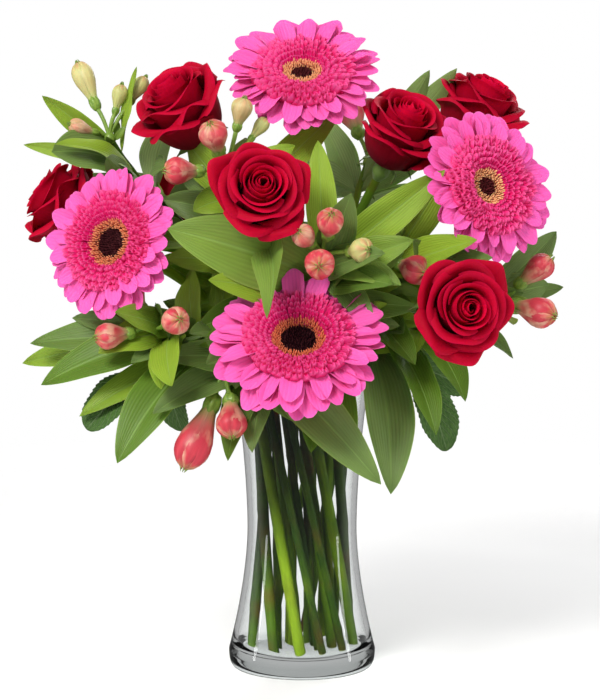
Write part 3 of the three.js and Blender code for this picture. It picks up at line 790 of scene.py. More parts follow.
class Draft:
    """Gathers closed bodies into one mesh.

    The map "grain" runs across 0..1 and along 0..1 on every body, and 2 more across on
    the underside of a blade. The attribute "tone" holds one number for each body."""

    def __init__(self):
        self.points = []
        self.rims = []
        self.tones = []
        self.faces = []
        self.grain = []
        self.slots = []
        self.total = 0
        self.place = Matrix.Identity(4)
        self.slot = 0
        self.tone = 0.5

    def add(self, points, rim, faces, grain):
        """One more body in the draft's place, with its slot and its tone."""
        turn = np.array(self.place.to_3x3())
        self.points.append(points @ turn.T + np.array(self.place.translation))
        self.rims.append(rim)
        self.tones.append(np.full(len(points), self.tone))
        self.faces.extend((np.asarray(face) + self.total).tolist() for face in faces)
        self.grain.append(grain)
        self.slots.extend([self.slot] * len(faces))
        self.total += len(points)

    def shell(self, top, thickness):
        """A thin closed blade whose underside shares the rim of the grid top[along, across]."""
        rows, columns = top.shape[:2]
        normal = np.cross(np.gradient(top, axis=1), np.gradient(top, axis=0))
        normal /= np.linalg.norm(normal, axis=2, keepdims=True) + 1e-9
        inside = (slice(1, -1), slice(1, -1))
        under = (top - normal * thickness)[inside].reshape(-1, 3)
        upper = np.arange(rows * columns).reshape(rows, columns)
        lower = upper.copy()
        lower[inside] = rows * columns + np.arange(len(under)).reshape(rows - 2, columns - 2)
        rim = np.ones((rows, columns), bool)
        rim[inside] = False
        grain = grid_grain(rows, columns)
        both = np.concatenate([grain.reshape(-1, 2), (grain[:, ::-1] + (2, 0)).reshape(-1, 2)])
        faces = np.concatenate([corners(upper), corners(lower)[:, ::-1]])
        points = np.concatenate([top.reshape(-1, 3), under])
        rims = np.concatenate([rim.ravel(), np.zeros(len(under), bool)])
        self.add(points, rims, faces, both)

    def loft(self, rings, sharp_ends=False):
        """A closed body through rings[n, around] that turn counterclockwise seen from its end."""
        count, around = rings.shape[:2]
        index = np.arange(count * around).reshape(count, around)
        wrapped = np.concatenate([index, index[:, :1]], axis=1)
        grain = grid_grain(count, around + 1).reshape(-1, 2)
        caps = np.repeat([(0.5, 0.0), (0.5, 1.0)], around, axis=0)
        faces = [*corners(wrapped), index[0][::-1], index[-1]]
        rim = np.zeros((count, around), bool)
        if sharp_ends:
            rim[0] = rim[-1] = True
        self.add(rings.reshape(-1, 3), rim.ravel(), faces, np.concatenate([grain, caps]))

    def lathe(self, profile, around, ribs=0, depth=0.0):
        """A round body from its profile of radius and height, ribbed if asked."""
        turn = np.linspace(0, 2 * math.pi, around, endpoint=False)
        profile = np.array(profile, float)
        radius = profile[:, :1] * (1 + depth * np.cos(ribs * turn))
        height = np.repeat(profile[:, 1:], around, axis=1)
        self.loft(polar(radius, turn, height))

    def stalk(self, line, radii, sides, slant=0.0):
        """A round stalk along a line; slant cuts its first end askew."""
        tangents = units(np.gradient(line, axis=0))
        turn = np.linspace(0, 2 * math.pi, sides, endpoint=False)[:, None]
        side = np.cross(tangents[0], (0.3, 1.0, 0.1))
        rings = []
        for point, tangent, radius in zip(line, tangents, np.broadcast_to(radii, len(line))):
            side = unit(side - tangent * (side @ tangent))
            lift = np.cross(tangent, side)
            rings.append(point + radius * (np.cos(turn) * side + np.sin(turn) * lift))
        rings[0] = rings[0] + tangents[0] * slant * (1 + np.cos(turn + self.tone * 9))
        self.loft(np.array(rings), sharp_ends=True)

    def mesh(self, name, materials):
        """The bodies as one mesh in metres, smooth but for the edges along their rims."""
        mesh = bpy.data.meshes.new(name)
        mesh.from_pydata((np.concatenate(self.points) * MM).tolist(), [], self.faces)
        for material in materials:
            mesh.materials.append(material)
        mesh.polygons.foreach_set("material_index", self.slots)
        mesh.shade_smooth()
        layer = mesh.uv_layers.new(name="grain")
        layer.data.foreach_set("uv", np.concatenate(self.grain).ravel().astype(np.float32))
        tone = mesh.attributes.new("tone", "FLOAT", "POINT")
        tone.data.foreach_set("value", np.concatenate(self.tones).astype(np.float32))
        rim = np.concatenate(self.rims)
        ends = np.empty(len(mesh.edges) * 2, np.int32)
        mesh.edges.foreach_get("vertices", ends)
        sharp = mesh.attributes.new("sharp_edge", "BOOLEAN", "EDGE")
        sharp.data.foreach_set("value", rim[ends].reshape(-1, 2).all(axis=1))
        mesh.update()
        return mesh


def new_object(name, mesh):
    thing = bpy.data.objects.new(name, mesh)
    bpy.context.scene.collection.objects.link(thing)
    return thing


def settle(thing, node):
    """Hands a finished piece to the frame in place of its CAD node."""
    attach(thing, "root")
    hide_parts(node)


def draft_piece(draft, name, materials, node):
    settle(new_object(name, draft.mesh(name, materials)), node)


# ---- geometry nodes: what repeats

INPUT_KINDS = {
    "Geometry": "NodeSocketGeometry", "Seed": "NodeSocketInt", "Count": "NodeSocketInt",
    "Material": "NodeSocketMaterial", "Piece": "NodeSocketObject", "Second Piece": "NodeSocketObject",
    "Third Piece": "NodeSocketObject", "Path": "NodeSocketObject",
}


class Growth(Tree):
    """A Geometry Nodes tree with named inputs that adds to the geometry it is given."""

    def __init__(self, name, *inputs):
        super().__init__(bpy.data.node_groups.new(name, "GeometryNodeTree"))
        face = self.node_tree.interface
        for key in ("Geometry", *inputs, "Seed", "Material"):
            kind = INPUT_KINDS.get(key, "NodeSocketFloat")
            face.new_socket(name=key, in_out="INPUT", socket_type=kind)
        face.new_socket(name="Geometry", in_out="OUTPUT", socket_type="NodeSocketGeometry")
        self.source = self.node_tree.nodes.new("NodeGroupInput")

    def given(self, name):
        return Wire(self, self.source.outputs[name])

    def random(self, low, high, salt):
        """A random number for every point, from the tree's seed and a salt."""
        inputs = {"Min_001": low, "Max_001": high, "Seed": self.given("Seed") + salt}
        return self.add("FunctionNodeRandomValue", {"data_type": "FLOAT"}, inputs, "Value_001")

    def join(self, *parts):
        node = self.node_tree.nodes.new("GeometryNodeJoinGeometry")
        for part in parts:
            self.node_tree.links.new(part.socket, node.inputs[0])
        return Wire(self, node.outputs[0])

    def copies(self, *names):
        """The named objects as instances to pick from."""
        pieces = []
        for name in names:
            inputs = {"Object": self.given(name), "As Instance": True}
            pieces.append(self.add("GeometryNodeObjectInfo", {}, inputs, "Geometry"))
        return self.join(*pieces)

    def finish(self, points, instance, turn, scale, picks=1):
        """Sets the instances, gives each its own tone and joins them to what was there."""
        inputs = {
            "Points": points, "Instance": instance, "Pick Instance": True,
            "Instance Index": self.math("FLOOR", self.random(0, picks - 0.001, 5)),
            "Rotation": turn, "Scale": scale,
        }
        copies = self.add("GeometryNodeInstanceOnPoints", {}, inputs)
        kind = {"data_type": "FLOAT", "domain": "INSTANCE"}
        inputs = {"Geometry": copies, "Name": "tone", "Value": self.random(0, 1, 9)}
        toned = self.add("GeometryNodeStoreNamedAttribute", kind, inputs)
        real = self.add("GeometryNodeRealizeInstances", {}, {"Geometry": toned})
        inputs = {"Geometry": real, "Material": self.given("Material")}
        dressed = self.add("GeometryNodeSetMaterial", {}, inputs)
        output = self.node_tree.nodes.new("NodeGroupOutput")
        self.plug(output.inputs["Geometry"], self.join(dressed, self.given("Geometry")))
        return self.node_tree

    def euler(self, x, y, z):
        angles = self.add("ShaderNodeCombineXYZ", {}, {0: x, 1: y, 2: z})
        return self.add("FunctionNodeEulerToRotation", {}, {0: angles})

    def points_round(self, radius, turn, height):
        """The tree's count of points, each at its own radius, turn and height."""
        x, y = radius * self.math("COSINE", turn), radius * self.math("SINE", turn)
        place = self.add("ShaderNodeCombineXYZ", {}, {0: x, 1: y, 2: height})
        inputs = {"Count": self.given("Count"), "Position": place}
        return self.add("GeometryNodePoints", {}, inputs)


def ring_growth():
    """One ring of florets that lie along the radius, tilted up by Tilt."""
    tree = Growth(
        "floret ring", "Piece", "Second Piece", "Third Piece", "Count", "Ring Radius", "Height",
        "Tilt", "Tilt Spread", "Size", "Size Spread", "Phase", "Sag", "Low Side",
    )
    index = tree.add("GeometryNodeInputIndex")
    step = 2 * math.pi / tree.given("Count")
    turn = (index + tree.given("Phase") + tree.random(-0.22, 0.22, 1)) * step
    height = tree.given("Height") + tree.random(-0.0006, 0.0006, 2)
    points = tree.points_round(tree.given("Ring Radius"), turn, height)
    lowness = tree.larger(tree.math("COSINE", turn - tree.given("Low Side")), 0)
    tilt = tree.given("Tilt") + tree.given("Tilt Spread") * tree.random(-1, 1, 3)
    tilt = tilt - tree.given("Sag") * lowness
    size = tree.given("Size") * (1 + tree.given("Size Spread") * tree.random(-1, 1, 4))
    rotation = tree.euler(tree.random(-0.2, 0.2, 6), 0 - tilt, turn + tree.random(-0.05, 0.05, 7))
    pieces = tree.copies("Piece", "Second Piece", "Third Piece")
    return tree.finish(points, pieces, rotation, size, picks=3)


def eye_growth():
    """Florets on the golden spiral of a disc, upright in the middle and leaning out."""
    tree = Growth("floret eye", "Piece", "Count", "Ring Radius", "Height", "Dome", "Lean", "Size")
    index = tree.add("GeometryNodeInputIndex")
    share = tree.math("SQRT", (index + 0.5) / tree.given("Count"))
    turn = index * GOLDEN_TURN
    height = tree.given("Height") + tree.given("Dome") * (1 - share * share)
    points = tree.points_round(tree.given("Ring Radius") * share, turn, height)
    lean = math.pi / 2 - tree.given("Lean") * share + tree.random(-0.15, 0.15, 1)
    size = tree.given("Size") * (1 + tree.random(-0.25, 0.25, 2))
    return tree.finish(points, tree.copies("Piece"), tree.euler(0, 0 - lean, turn), size)


def thorn_growth():
    """Thorns scattered up a stem; each stands off to one side of its path."""
    tree = Growth("thorns", "Piece", "Path", "Count", "Size", "Size Spread")
    path = tree.add("GeometryNodeObjectInfo", {}, {"Object": tree.given("Path")}, "Geometry")
    curve = tree.add("GeometryNodeMeshToCurve", {}, {"Mesh": path})
    inputs = {"Curve": curve, "Count": tree.given("Count")}
    points = tree.add("GeometryNodeCurveToPoints", {}, inputs)
    along = Wire(tree, points.socket.node.outputs["Rotation"])
    spin = tree.euler(0, 0, tree.random(0, 2 * math.pi, 1))
    settings = {"rotation_space": "LOCAL"}
    turn = tree.add("FunctionNodeRotateRotation", settings, {"Rotation": along, "Rotate By": spin})
    size = tree.given("Size") * (1 + tree.given("Size Spread") * tree.random(-1, 1, 2))
    return tree.finish(points, tree.copies("Piece"), turn, size)


def grow(thing, tree, **values):
    """Adds a tree as a modifier; a value's name is its input's, with _ for spaces."""
    modifier = thing.modifiers.new(tree.name, "NODES")
    modifier.node_group = tree
    for item in tree.interface.items_tree:
        key = item.name.replace(" ", "_").lower()
        if item.in_out == "INPUT" and key in values:
            modifier[item.identifier] = values[key]


def grown(thing, place):
    """Turns a piece and its modifiers into one plain mesh in its place."""
    depsgraph = bpy.context.evaluated_depsgraph_get()
    depsgraph.update()
    mesh = bpy.data.meshes.new_from_object(
        thing.evaluated_get(depsgraph), preserve_all_data_layers=True, depsgraph=depsgraph,
    )
    thing.modifiers.clear()
    thing.data = mesh
    place = place.copy()
    place.translation *= MM
    mesh.transform(place)
    mesh.update()
    return thing


def seedling(name, draft):
    """A small piece for the trees to copy. It is taken away when they are done."""
    return new_object("seedling_" + name, draft.mesh(name, []))


def clear_seedlings(things):
    for thing in things:
        bpy.data.objects.remove(thing)


# ---- vase

WALL_STEPS = 44


def vase_profile(settings):
    """Radius and height from the middle of the underside, up the wall and back down inside."""
    foot, flare, flare_height, waist, waist_height, rim, height, wall, floor = (
        getattr(settings, key) / MM for key in (
            "foot_radius", "flare_radius", "flare_height", "waist_radius", "waist_height",
            "rim_radius", "height", "wall", "floor",
        )
    )

    def wall_radius(z):
        low = z < waist_height
        end_radius = np.where(low, flare, rim)
        end_height = np.where(low, flare_height, height)
        share = (z - waist_height) / (end_height - waist_height)
        return waist + (end_radius - waist) * share**1.7

    heel = [(foot - 1, 0), (foot + 1.5, 0), (flare, flare_height * 0.45), (flare, flare_height)]
    outer = np.linspace(flare_height, height - wall / 2, WALL_STEPS)[1:]
    turn = np.linspace(0, math.pi, 9)
    circle = np.stack([np.cos(turn), np.sin(turn)], -1)
    lip = (rim - wall / 2, height - wall / 2) + wall / 2 * circle
    inner = np.linspace(height - wall / 2, floor + 9, WALL_STEPS)[1:]
    inside = wall_radius(inner) - wall
    low = inside[-1]
    well = [(low, floor + 9), (low + 1, floor + 2), (low - 3, floor), (low - 12, floor)]
    bends = np.linspace(0, 1, 10)
    return np.concatenate([
        [(8, 0.0), (foot - 8, 0.0)], bezier(heel, bends),
        np.stack([wall_radius(outer), outer], -1)[:-1], lip[:-1],
        np.stack([inside, inner], -1), bezier(well, bends)[1:], [(8, floor)],
    ])


class BOUQUET_OT_vase(bpy.types.Operator):
    """Blow the clear flared vase"""

    bl_idname = "bouquet.vase"
    bl_label = "Vase"

    def execute(self, context):
        settings = context.scene.bouquet_vase
        draft = Draft()
        draft.lathe(vase_profile(settings), around=128)
        draft_piece(draft, "glass_vase", [glass_finish(settings)], "vase")
        return {"FINISHED"}


# ---- stems

def stem_radii(line, radius, nodes, swell):
    """Radii along a stem: a little thinner upwards, thicker at its leaf nodes."""
    share = np.linspace(0, 1, len(line))
    bump = np.abs(np.sin(share * nodes * math.pi)) ** 24
    return radius * (1.04 - 0.12 * share + swell * bump)


# the rows of each kind of head and how far behind its centre the stem ends
HEADS = {"gerbera": (GERBERAS, GERBERA_DEPTH), "rose": (ROSES, ROSE_HEIGHT / 2 + CALYX_DEPTH)}


def stem_line(kind, name):
    """The Stem of a flower by its kind and name."""
    if kind == "alstroemeria":
        depth = 0
        ring, exit_turn, head, turn, lift = ALSTROEMERIAS[name]["stem"]
    else:
        rows, depth = HEADS[kind]
        _, ring, exit_turn, head, turn, lift, _ = next(row for row in rows if row[0] == name)
    axis = facing(turn, lift)
    return Stem(ring, exit_turn, np.array(head, float) - axis * depth, axis)


def stem_draft(path, step, tone, radius, sides, slant, nodes=0, swell=0.0):
    """A stalk along a Stem, swollen at its nodes if it has any."""
    draft = Draft()
    draft.tone = tone
    line = path.line(step)
    draft.stalk(line, stem_radii(line, radius, nodes, swell), sides, slant)
    return draft


# ---- gerberas

def strap(rows, columns, size, half, lift, corner):
    """The face of a strap along +X: half(v) is its half width, lift(u, v) its height and
    corner how much shorter its edges are than its middle."""
    v, u = face_grid(rows, columns)
    v = v * (1 - corner * np.abs(u) ** 2.3)
    return np.stack([size * v, -u * half(v), lift(u, v)], -1)


def broad_ray(rise, droop, cup, twist):
    """A broad petal with a blunt round tip, hollow along its middle."""
    def half(v):
        return 6.1 * (0.32 + 0.68 * smoothstep(v, 0, 0.66)) * (1 - 0.1 * smoothstep(v, 0.8, 1.0))

    def lift(u, v):
        pleats = 0.2 * np.cos(3.2 * math.pi * u) * smoothstep(v, 0.1, 0.5)
        trough = cup * (u * u - 0.4) * smoothstep(v, 0, 0.5) * (1 - 0.75 * smoothstep(v, 0.7, 1))
        return rise * v - droop * v**2.6 + trough + pleats + twist * u * v**2

    draft = Draft()
    draft.shell(strap(15, 9, BROAD_LENGTH, half, lift, 0.17), 0.4)
    return draft


def narrow_ray(width, rise):
    """A narrow inner floret of length 1, channelled, with its pointed tip bent upwards."""
    def half(v):
        return width / 2 * (0.5 + 0.5 * smoothstep(v, 0.2, 0.7)) * (1 - 0.5 * smoothstep(v, 0.82, 1))

    def lift(u, v):
        return rise * v**3.5 + 0.42 * width * u * u * (0.4 + v)

    draft = Draft()
    draft.shell(strap(7, 4, 1, half, lift, 0.08), 0.25)
    return draft


def spike(size, width, sides=5):
    """A tiny pointed floret along +X."""
    draft = Draft()
    shares = np.array([0, 0.35, 0.75, 0.92])
    line = np.stack([size * shares, 0 * shares, 0.12 * size * shares**2], -1)
    draft.stalk(line, width / 2 * np.array([0.8, 1, 0.75, 0.2]), sides)
    return draft


# Each row is its radius, height, tilt, length, count and phase. In the outer rows length is
# a share of the broad petal, and in the crown the eye's radius is added to the row's.
OUTER_ROWS = (
    (11.5, -3.6, 3, 1.00, BROAD_RAYS, 0.0), (11.5, -3.0, 7, 0.97, BROAD_RAYS, 0.5),
    (11.5, -2.4, 12, 0.88, BROAD_RAYS - 1, 0.2),
)
# two rows for each of the three shapes of narrow floret
FLORET_ROWS = (
    (14.4, -2.2, 20, 17.4, 62, 0.0), (14.3, -2.2, 25, 15.2, 58, 0.5),
    (14.2, -2.2, 31, 12.9, 56, 0.2), (14.1, -2.2, 38, 10.4, 54, 0.7),
    (14.0, -2.1, 47, 7.8, 48, 0.4), (13.8, -2.0, 58, 5.2, 44, 0.9),
)
CROWN_ROWS = (
    (0.1, -3.2, 100, 3.3, 44, 0.1), (0.8, -3.2, 92, 3.5, 48, 0.6), (1.5, -3.1, 84, 3.7, 52, 0.2),
    (2.2, -3.0, 77, 3.9, 56, 0.5), (2.9, -2.9, 70, 4.1, 60, 0.0), (3.6, -2.7, 63, 4.3, 64, 0.3),
)
BRACT_ROWS = (
    (4.4, -15.5, 62, 9.4, 15, 0.0), (6.2, -13.1, 56, 9.8, 18, 0.5), (8.4, -10.2, 48, 10.2, 20, 0.2),
    (9.8, -7.4, 28, 10.6, 21, 0.7),
)


class BOUQUET_OT_gerberas(bpy.types.Operator):
    """Grow the four gerberas"""

    bl_idname = "bouquet.gerberas"
    bl_label = "Gerberas"

    def execute(self, context):
        settings = context.scene.bouquet_gerbera
        looks = {
            "ray": ray_finish(settings), "floret": floret_finish(settings),
            "bract": bract_finish(settings),
            "stem": stem_finish("gerbera_stem", settings.stem, (0.07, 0.16, 0.004), 16, 0.25),
        }
        seeds = {
            "flat": seedling("flat", broad_ray(3.0, 3.5, 2.0, 0.5)),
            "bent": seedling("bent", broad_ray(4.0, 7.5, 2.6, -1.2)),
            "rolled": seedling("rolled", broad_ray(2.0, 0.5, 3.2, 1.6)),
            "long": seedling("long", narrow_ray(0.15, 0.05)),
            "slim": seedling("slim", narrow_ray(0.19, 0.08)),
            "short": seedling("short", narrow_ray(0.27, 0.1)),
            "crown": seedling("crown", spike(1, 0.3, 4)),
            "eye": seedling("eye", spike(4.2, 1.35)),
        }
        ring, spiral = ring_growth(), eye_growth()
        for order, (name, _, _, centre, turn, lift, radius) in enumerate(GERBERAS):
            place = pose(centre, facing(turn, lift), spin=17 * order)
            down = place.to_3x3().inverted() @ Vector((0, 0, -1))
            eye, pale, raised, sag = GERBERA_LOOKS[name]
            head = SimpleNamespace(
                name=name, order=order, place=place, radius=radius, raised=raised, sag=sag,
                eye=eye * (settings.eye_radius / MM), low_side=math.atan2(down.y, down.x),
                more_rays=settings.rays - BROAD_RAYS,
            )
            crown = Vector(settings.crown).lerp(Vector(settings.pale_crown), pale)
            dark = Vector(settings.eye).lerp(Vector(settings.pale_eye), pale)
            looks["crown"] = crown_finish(f"gerbera_crown_{name}", crown)
            looks["eye"] = eye_finish(f"gerbera_eye_{name}", dark)
            self.petals(head, seeds, looks, ring)
            self.disc(head, seeds, looks, ring, spiral)
            stem = stem_draft(stem_line("gerbera", name), 5, 0.2 * order, GERBERA_STEM, 12, 1.8)
            draft_piece(stem, f"gerbera_{name}_stalk", [looks["stem"]], f"gerbera_{name}_stem")
        clear_seedlings(seeds.values())
        return {"FINISHED"}

    def rows(self, thing, ring, rows, pieces, seed, scale=1, **values):
        """One ring of florets for each row of a table."""
        pieces = dict(zip(("piece", "second_piece", "third_piece"), pieces))
        for number, (radius, height, tilt, size, count, phase) in enumerate(rows):
            grow(thing, ring, ring_radius=radius * MM, height=height * MM, tilt=math.radians(tilt),
                 size=size * scale, count=count, phase=phase, seed=seed + 10 * number,
                 **pieces, **values)

    def petals(self, head, seeds, looks, ring):
        """Three rows of broad petals and six of narrow florets that reach in to the eye."""
        thing = new_object(f"gerbera_{head.name}_florets", bpy.data.meshes.new("florets"))
        outer = [
            (radius, height, tilt + head.raised, size, count + head.more_rays, phase)
            for radius, height, tilt, size, count, phase in OUTER_ROWS
        ]
        self.rows(thing, ring, outer, (seeds["flat"], seeds["bent"], seeds["rolled"]),
                  seed=10 + head.order, scale=(head.radius - BROAD_ROOT) / BROAD_LENGTH,
                  material=looks["ray"], tilt_spread=0.08, size_spread=0.06, sag=head.sag,
                  low_side=head.low_side)
        closer = WIDE_EYE - head.eye
        for pair, shape in enumerate(("long", "slim", "short")):
            rows = [(row[0] - closer, row[1] - 0.2 * closer, *row[2:])
                    for row in FLORET_ROWS[2 * pair:2 * pair + 2]]
            self.rows(thing, ring, rows, [seeds[shape]] * 3, seed=90 + 40 * pair + head.order,
                      scale=head.radius / FLORET_HEAD + closer / 16, material=looks["floret"],
                      tilt_spread=0.07, size_spread=0.07, sag=0.5 * head.sag,
                      low_side=head.low_side)
        settle(grown(thing, head.place), f"gerbera_{head.name}_petals")

    def disc(self, head, seeds, looks, ring, spiral):
        """The green receptacle with its bracts, and the eye in its crown of filaments."""
        eye = head.eye
        draft = Draft()
        draft.lathe([
            (2.6, -GERBERA_DEPTH - 1.5), (3.4, -17), (4.6, -14.5), (6.6, -11.5), (8.8, -8.5),
            (11.2, -6.4), (12.4, -5.2), (12.2, -4.2), (10.6, -3.8), (5.5, -3.6), (1.5, -3.4),
        ], around=32, ribs=16, depth=0.02)
        draft.slot = 1
        cushion = [(1.5, -4.6), (eye, -4.6), (eye + 1.6, -3.9), (eye - 1, -3.1), (1.5, -2.9)]
        draft.lathe(cushion, around=32)
        skin = [looks["bract"], looks["eye"]]
        thing = new_object(f"gerbera_{head.name}_centre", draft.mesh("receptacle", skin))
        self.rows(thing, ring, BRACT_ROWS, [seeds["slim"]] * 3, seed=head.order,
                  material=looks["bract"], tilt_spread=0.06, size_spread=0.1)
        crown = [
            (radius + eye, height, tilt, size, round(count * (eye + 2) / 12), phase)
            for radius, height, tilt, size, count, phase in CROWN_ROWS
        ]
        self.rows(thing, ring, crown, [seeds["crown"]] * 3, seed=50 + head.order,
                  material=looks["crown"], tilt_spread=0.16, size_spread=0.14)
        grow(thing, spiral, piece=seeds["eye"], count=round(1.6 * eye**2), ring_radius=eye * MM,
             height=-4.4 * MM, dome=0.7 * MM, lean=0.4, size=0.9, seed=70 + head.order,
             material=looks["eye"])
        settle(grown(thing, head.place), f"gerbera_{head.name}_disc")


# ---- roses

# Rows run from petals at the heart of a bloom to its outermost ones. Directions are in
# degrees outwards from straight up, at even steps from a petal's base to its lip.
ROSE_DIRECTIONS = (
    (34, 12, 0, -7, -14, -10),
    (62, 26, 4, -6, -6, 6),
    (80, 40, 10, -2, 8, 30),
    (86, 52, 18, 6, 30, 62),
    (88, 62, 28, 16, 46, 84),
)
# length, half angle it wraps, lip width, slope of its folds, curl radius, most curl
ROSE_LIPS = (
    (42, 170, 1.6, 0.05, 2.0, 50),
    (43, 130, 2.0, 0.12, 2.4, 75),
    (44, 100, 3.0, 0.32, 3.0, 120),
    (44, 86, 3.6, 0.75, 2.8, 150),
    (44, 80, 3.8, 1.0, 2.8, 170),
)
HEART_PETALS = 6
HEART_END, CUP_START = 0.24, 0.31
# leaves whose middle has a larger Y look to the back
BACK_LEAVES = 25


def between(table, share):
    """A row of a table at a share of the way from its first row to its last."""
    rows = np.array(table, float)
    position = share * (len(rows) - 1)
    low = min(int(position), len(rows) - 2)
    return rows[low] + (rows[low + 1] - rows[low]) * (position - low)


def rose_petal(share, turn, chance):
    """The inner face of one petal; share runs from 0 at the heart to 1 outside.

    It is cut flat, its lip is curled back about two sloping folds that meet at the
    tip, and it is wrapped on a cup."""
    v, u = face_grid(23, 23)
    size, half_turn, lip, slope, curl, most = between(ROSE_LIPS, share)
    size *= chance.uniform(0.97, 1.03)
    slope *= chance.uniform(0.7, 1.2)
    outer = smoothstep(share, 0.3, 1)

    steps = np.linspace(0, size, 121)
    lean = math.radians(chance.uniform(-7, 7) * outer)
    way = np.radians(np.interp(steps / size, np.linspace(0, 1, 6), between(ROSE_DIRECTIONS, share)))
    way = way + lean * smoothstep(steps / size, 0.3, 1)
    cup_radius = 1.2 + np.cumsum(np.sin(way)) * steps[1]
    cup_height = 1 - ROSE_HEIGHT / 2 + np.cumsum(np.cos(way)) * steps[1]

    along = size * v * (1 - (0.08 + 0.12 * outer) * np.abs(u) ** (2.6 - 1.1 * outer))
    taper = 1 - (0.1 + 0.4 * outer) * smoothstep(v, 0.62, 1) ** 1.5
    angle = np.radians(half_turn) * u * (0.3 + 0.7 * v**0.55) * taper
    aside = angle * np.interp(along, steps, cup_radius)
    reach = np.sqrt(aside**2 + 9) - 3
    stretch = math.hypot(1, slope)
    past = np.maximum((along - size + lip + slope * reach) / stretch, 0)
    bend = np.minimum(past / curl, math.radians(most))
    rest = past - bend * curl
    forward = curl * np.sin(bend) + rest * np.cos(bend) - past
    outward = curl * (1 - np.cos(bend)) + rest * np.sin(bend)
    along = np.clip(along + forward / stretch, 0, size)
    aside = aside + np.sign(aside) * forward * slope / stretch
    wave = np.sin(u * chance.uniform(3, 6) + chance.uniform(0, 6)) * v**3
    outward = outward + wave * (0.3 + 0.9 * outer)

    local = np.interp(along, steps, way)
    radius = np.interp(along, steps, cup_radius)
    angle = turn - aside / radius
    radius = radius * (1 + (0.11 - 0.05 * share) * u * v) + outward * np.cos(local)
    height = np.interp(along, steps, cup_height) - outward * np.sin(local)
    return polar(radius, angle, height)


def blade(root, tip, width, roll, arch, outline, habit, rows=25, columns=9, bow=0):
    """The upper face of a leaf from root to tip along an arched midrib.

    outline(v) is its half width as a share, habit its fold, its twist, its wave and where
    the wave begins, and bow how far the midrib curves sideways."""
    fold, twist, wave, phase = habit
    run = unit(tip - root)
    middle = (root + tip) / 2
    outward = unit(middle * (1, 1, 0) + (0, 1e-6, 0))
    ahead = (0, -0.9 if middle[1] < BACK_LEAVES else 0.6, 0)
    face = 0.6 * UP + outward + ahead
    face = unit(face - run * (face @ run))
    v = np.linspace(0, 1, rows)
    rib = bezier([root, middle + face * arch + np.cross(run, face) * bow, tip], v)
    along = units(np.gradient(rib, axis=0))
    angle = math.radians(roll) + twist * (v - 0.35)
    face = face * np.cos(angle)[:, None] + np.cross(run, face) * np.sin(angle)[:, None]
    side = units(np.cross(along, face))
    top = np.cross(side, along)
    u = np.linspace(-1, 1, columns)[None, :]
    half = (width / 2 * outline(v))[:, None]
    ripple = wave * np.sin(v * 13 + phase)[:, None] * u**2 * np.sign(u)
    ripple = ripple * np.sin(math.pi * v)[:, None]
    rise = half * (np.abs(u) * math.sin(fold) - 0.25 * fold * u**4) + ripple
    reach = half * u * math.cos(fold)
    return rib[:, None] + side[:, None] * reach[..., None] + top[:, None] * rise[..., None]


def lance_outline(v):
    """Narrow stalk, widest a little before the middle, long point."""
    shape = (np.clip(v - 0.03, 0, 1) ** 0.62) * (1 - v) ** 0.78
    return np.maximum(shape / 0.395, np.interp(v, (0, 0.12, 1), (0.09, 0.09, 0.012)))


def sepal_outline(v):
    return np.interp(v, (0, 0.15, 0.5, 0.8, 1), (0.9, 1.0, 0.6, 0.22, 0.04))


def leaflet_outline(v):
    """Oval with small saw teeth and a short point."""
    oval = (np.clip(v - 0.05, 0, 1) ** 0.5) * (1 - v) ** 0.5 / 0.475
    teeth = 1 + 0.07 * ((v * 15) % 1 - 0.5) * (v > 0.1)
    return np.maximum(oval * teeth, 0.05)


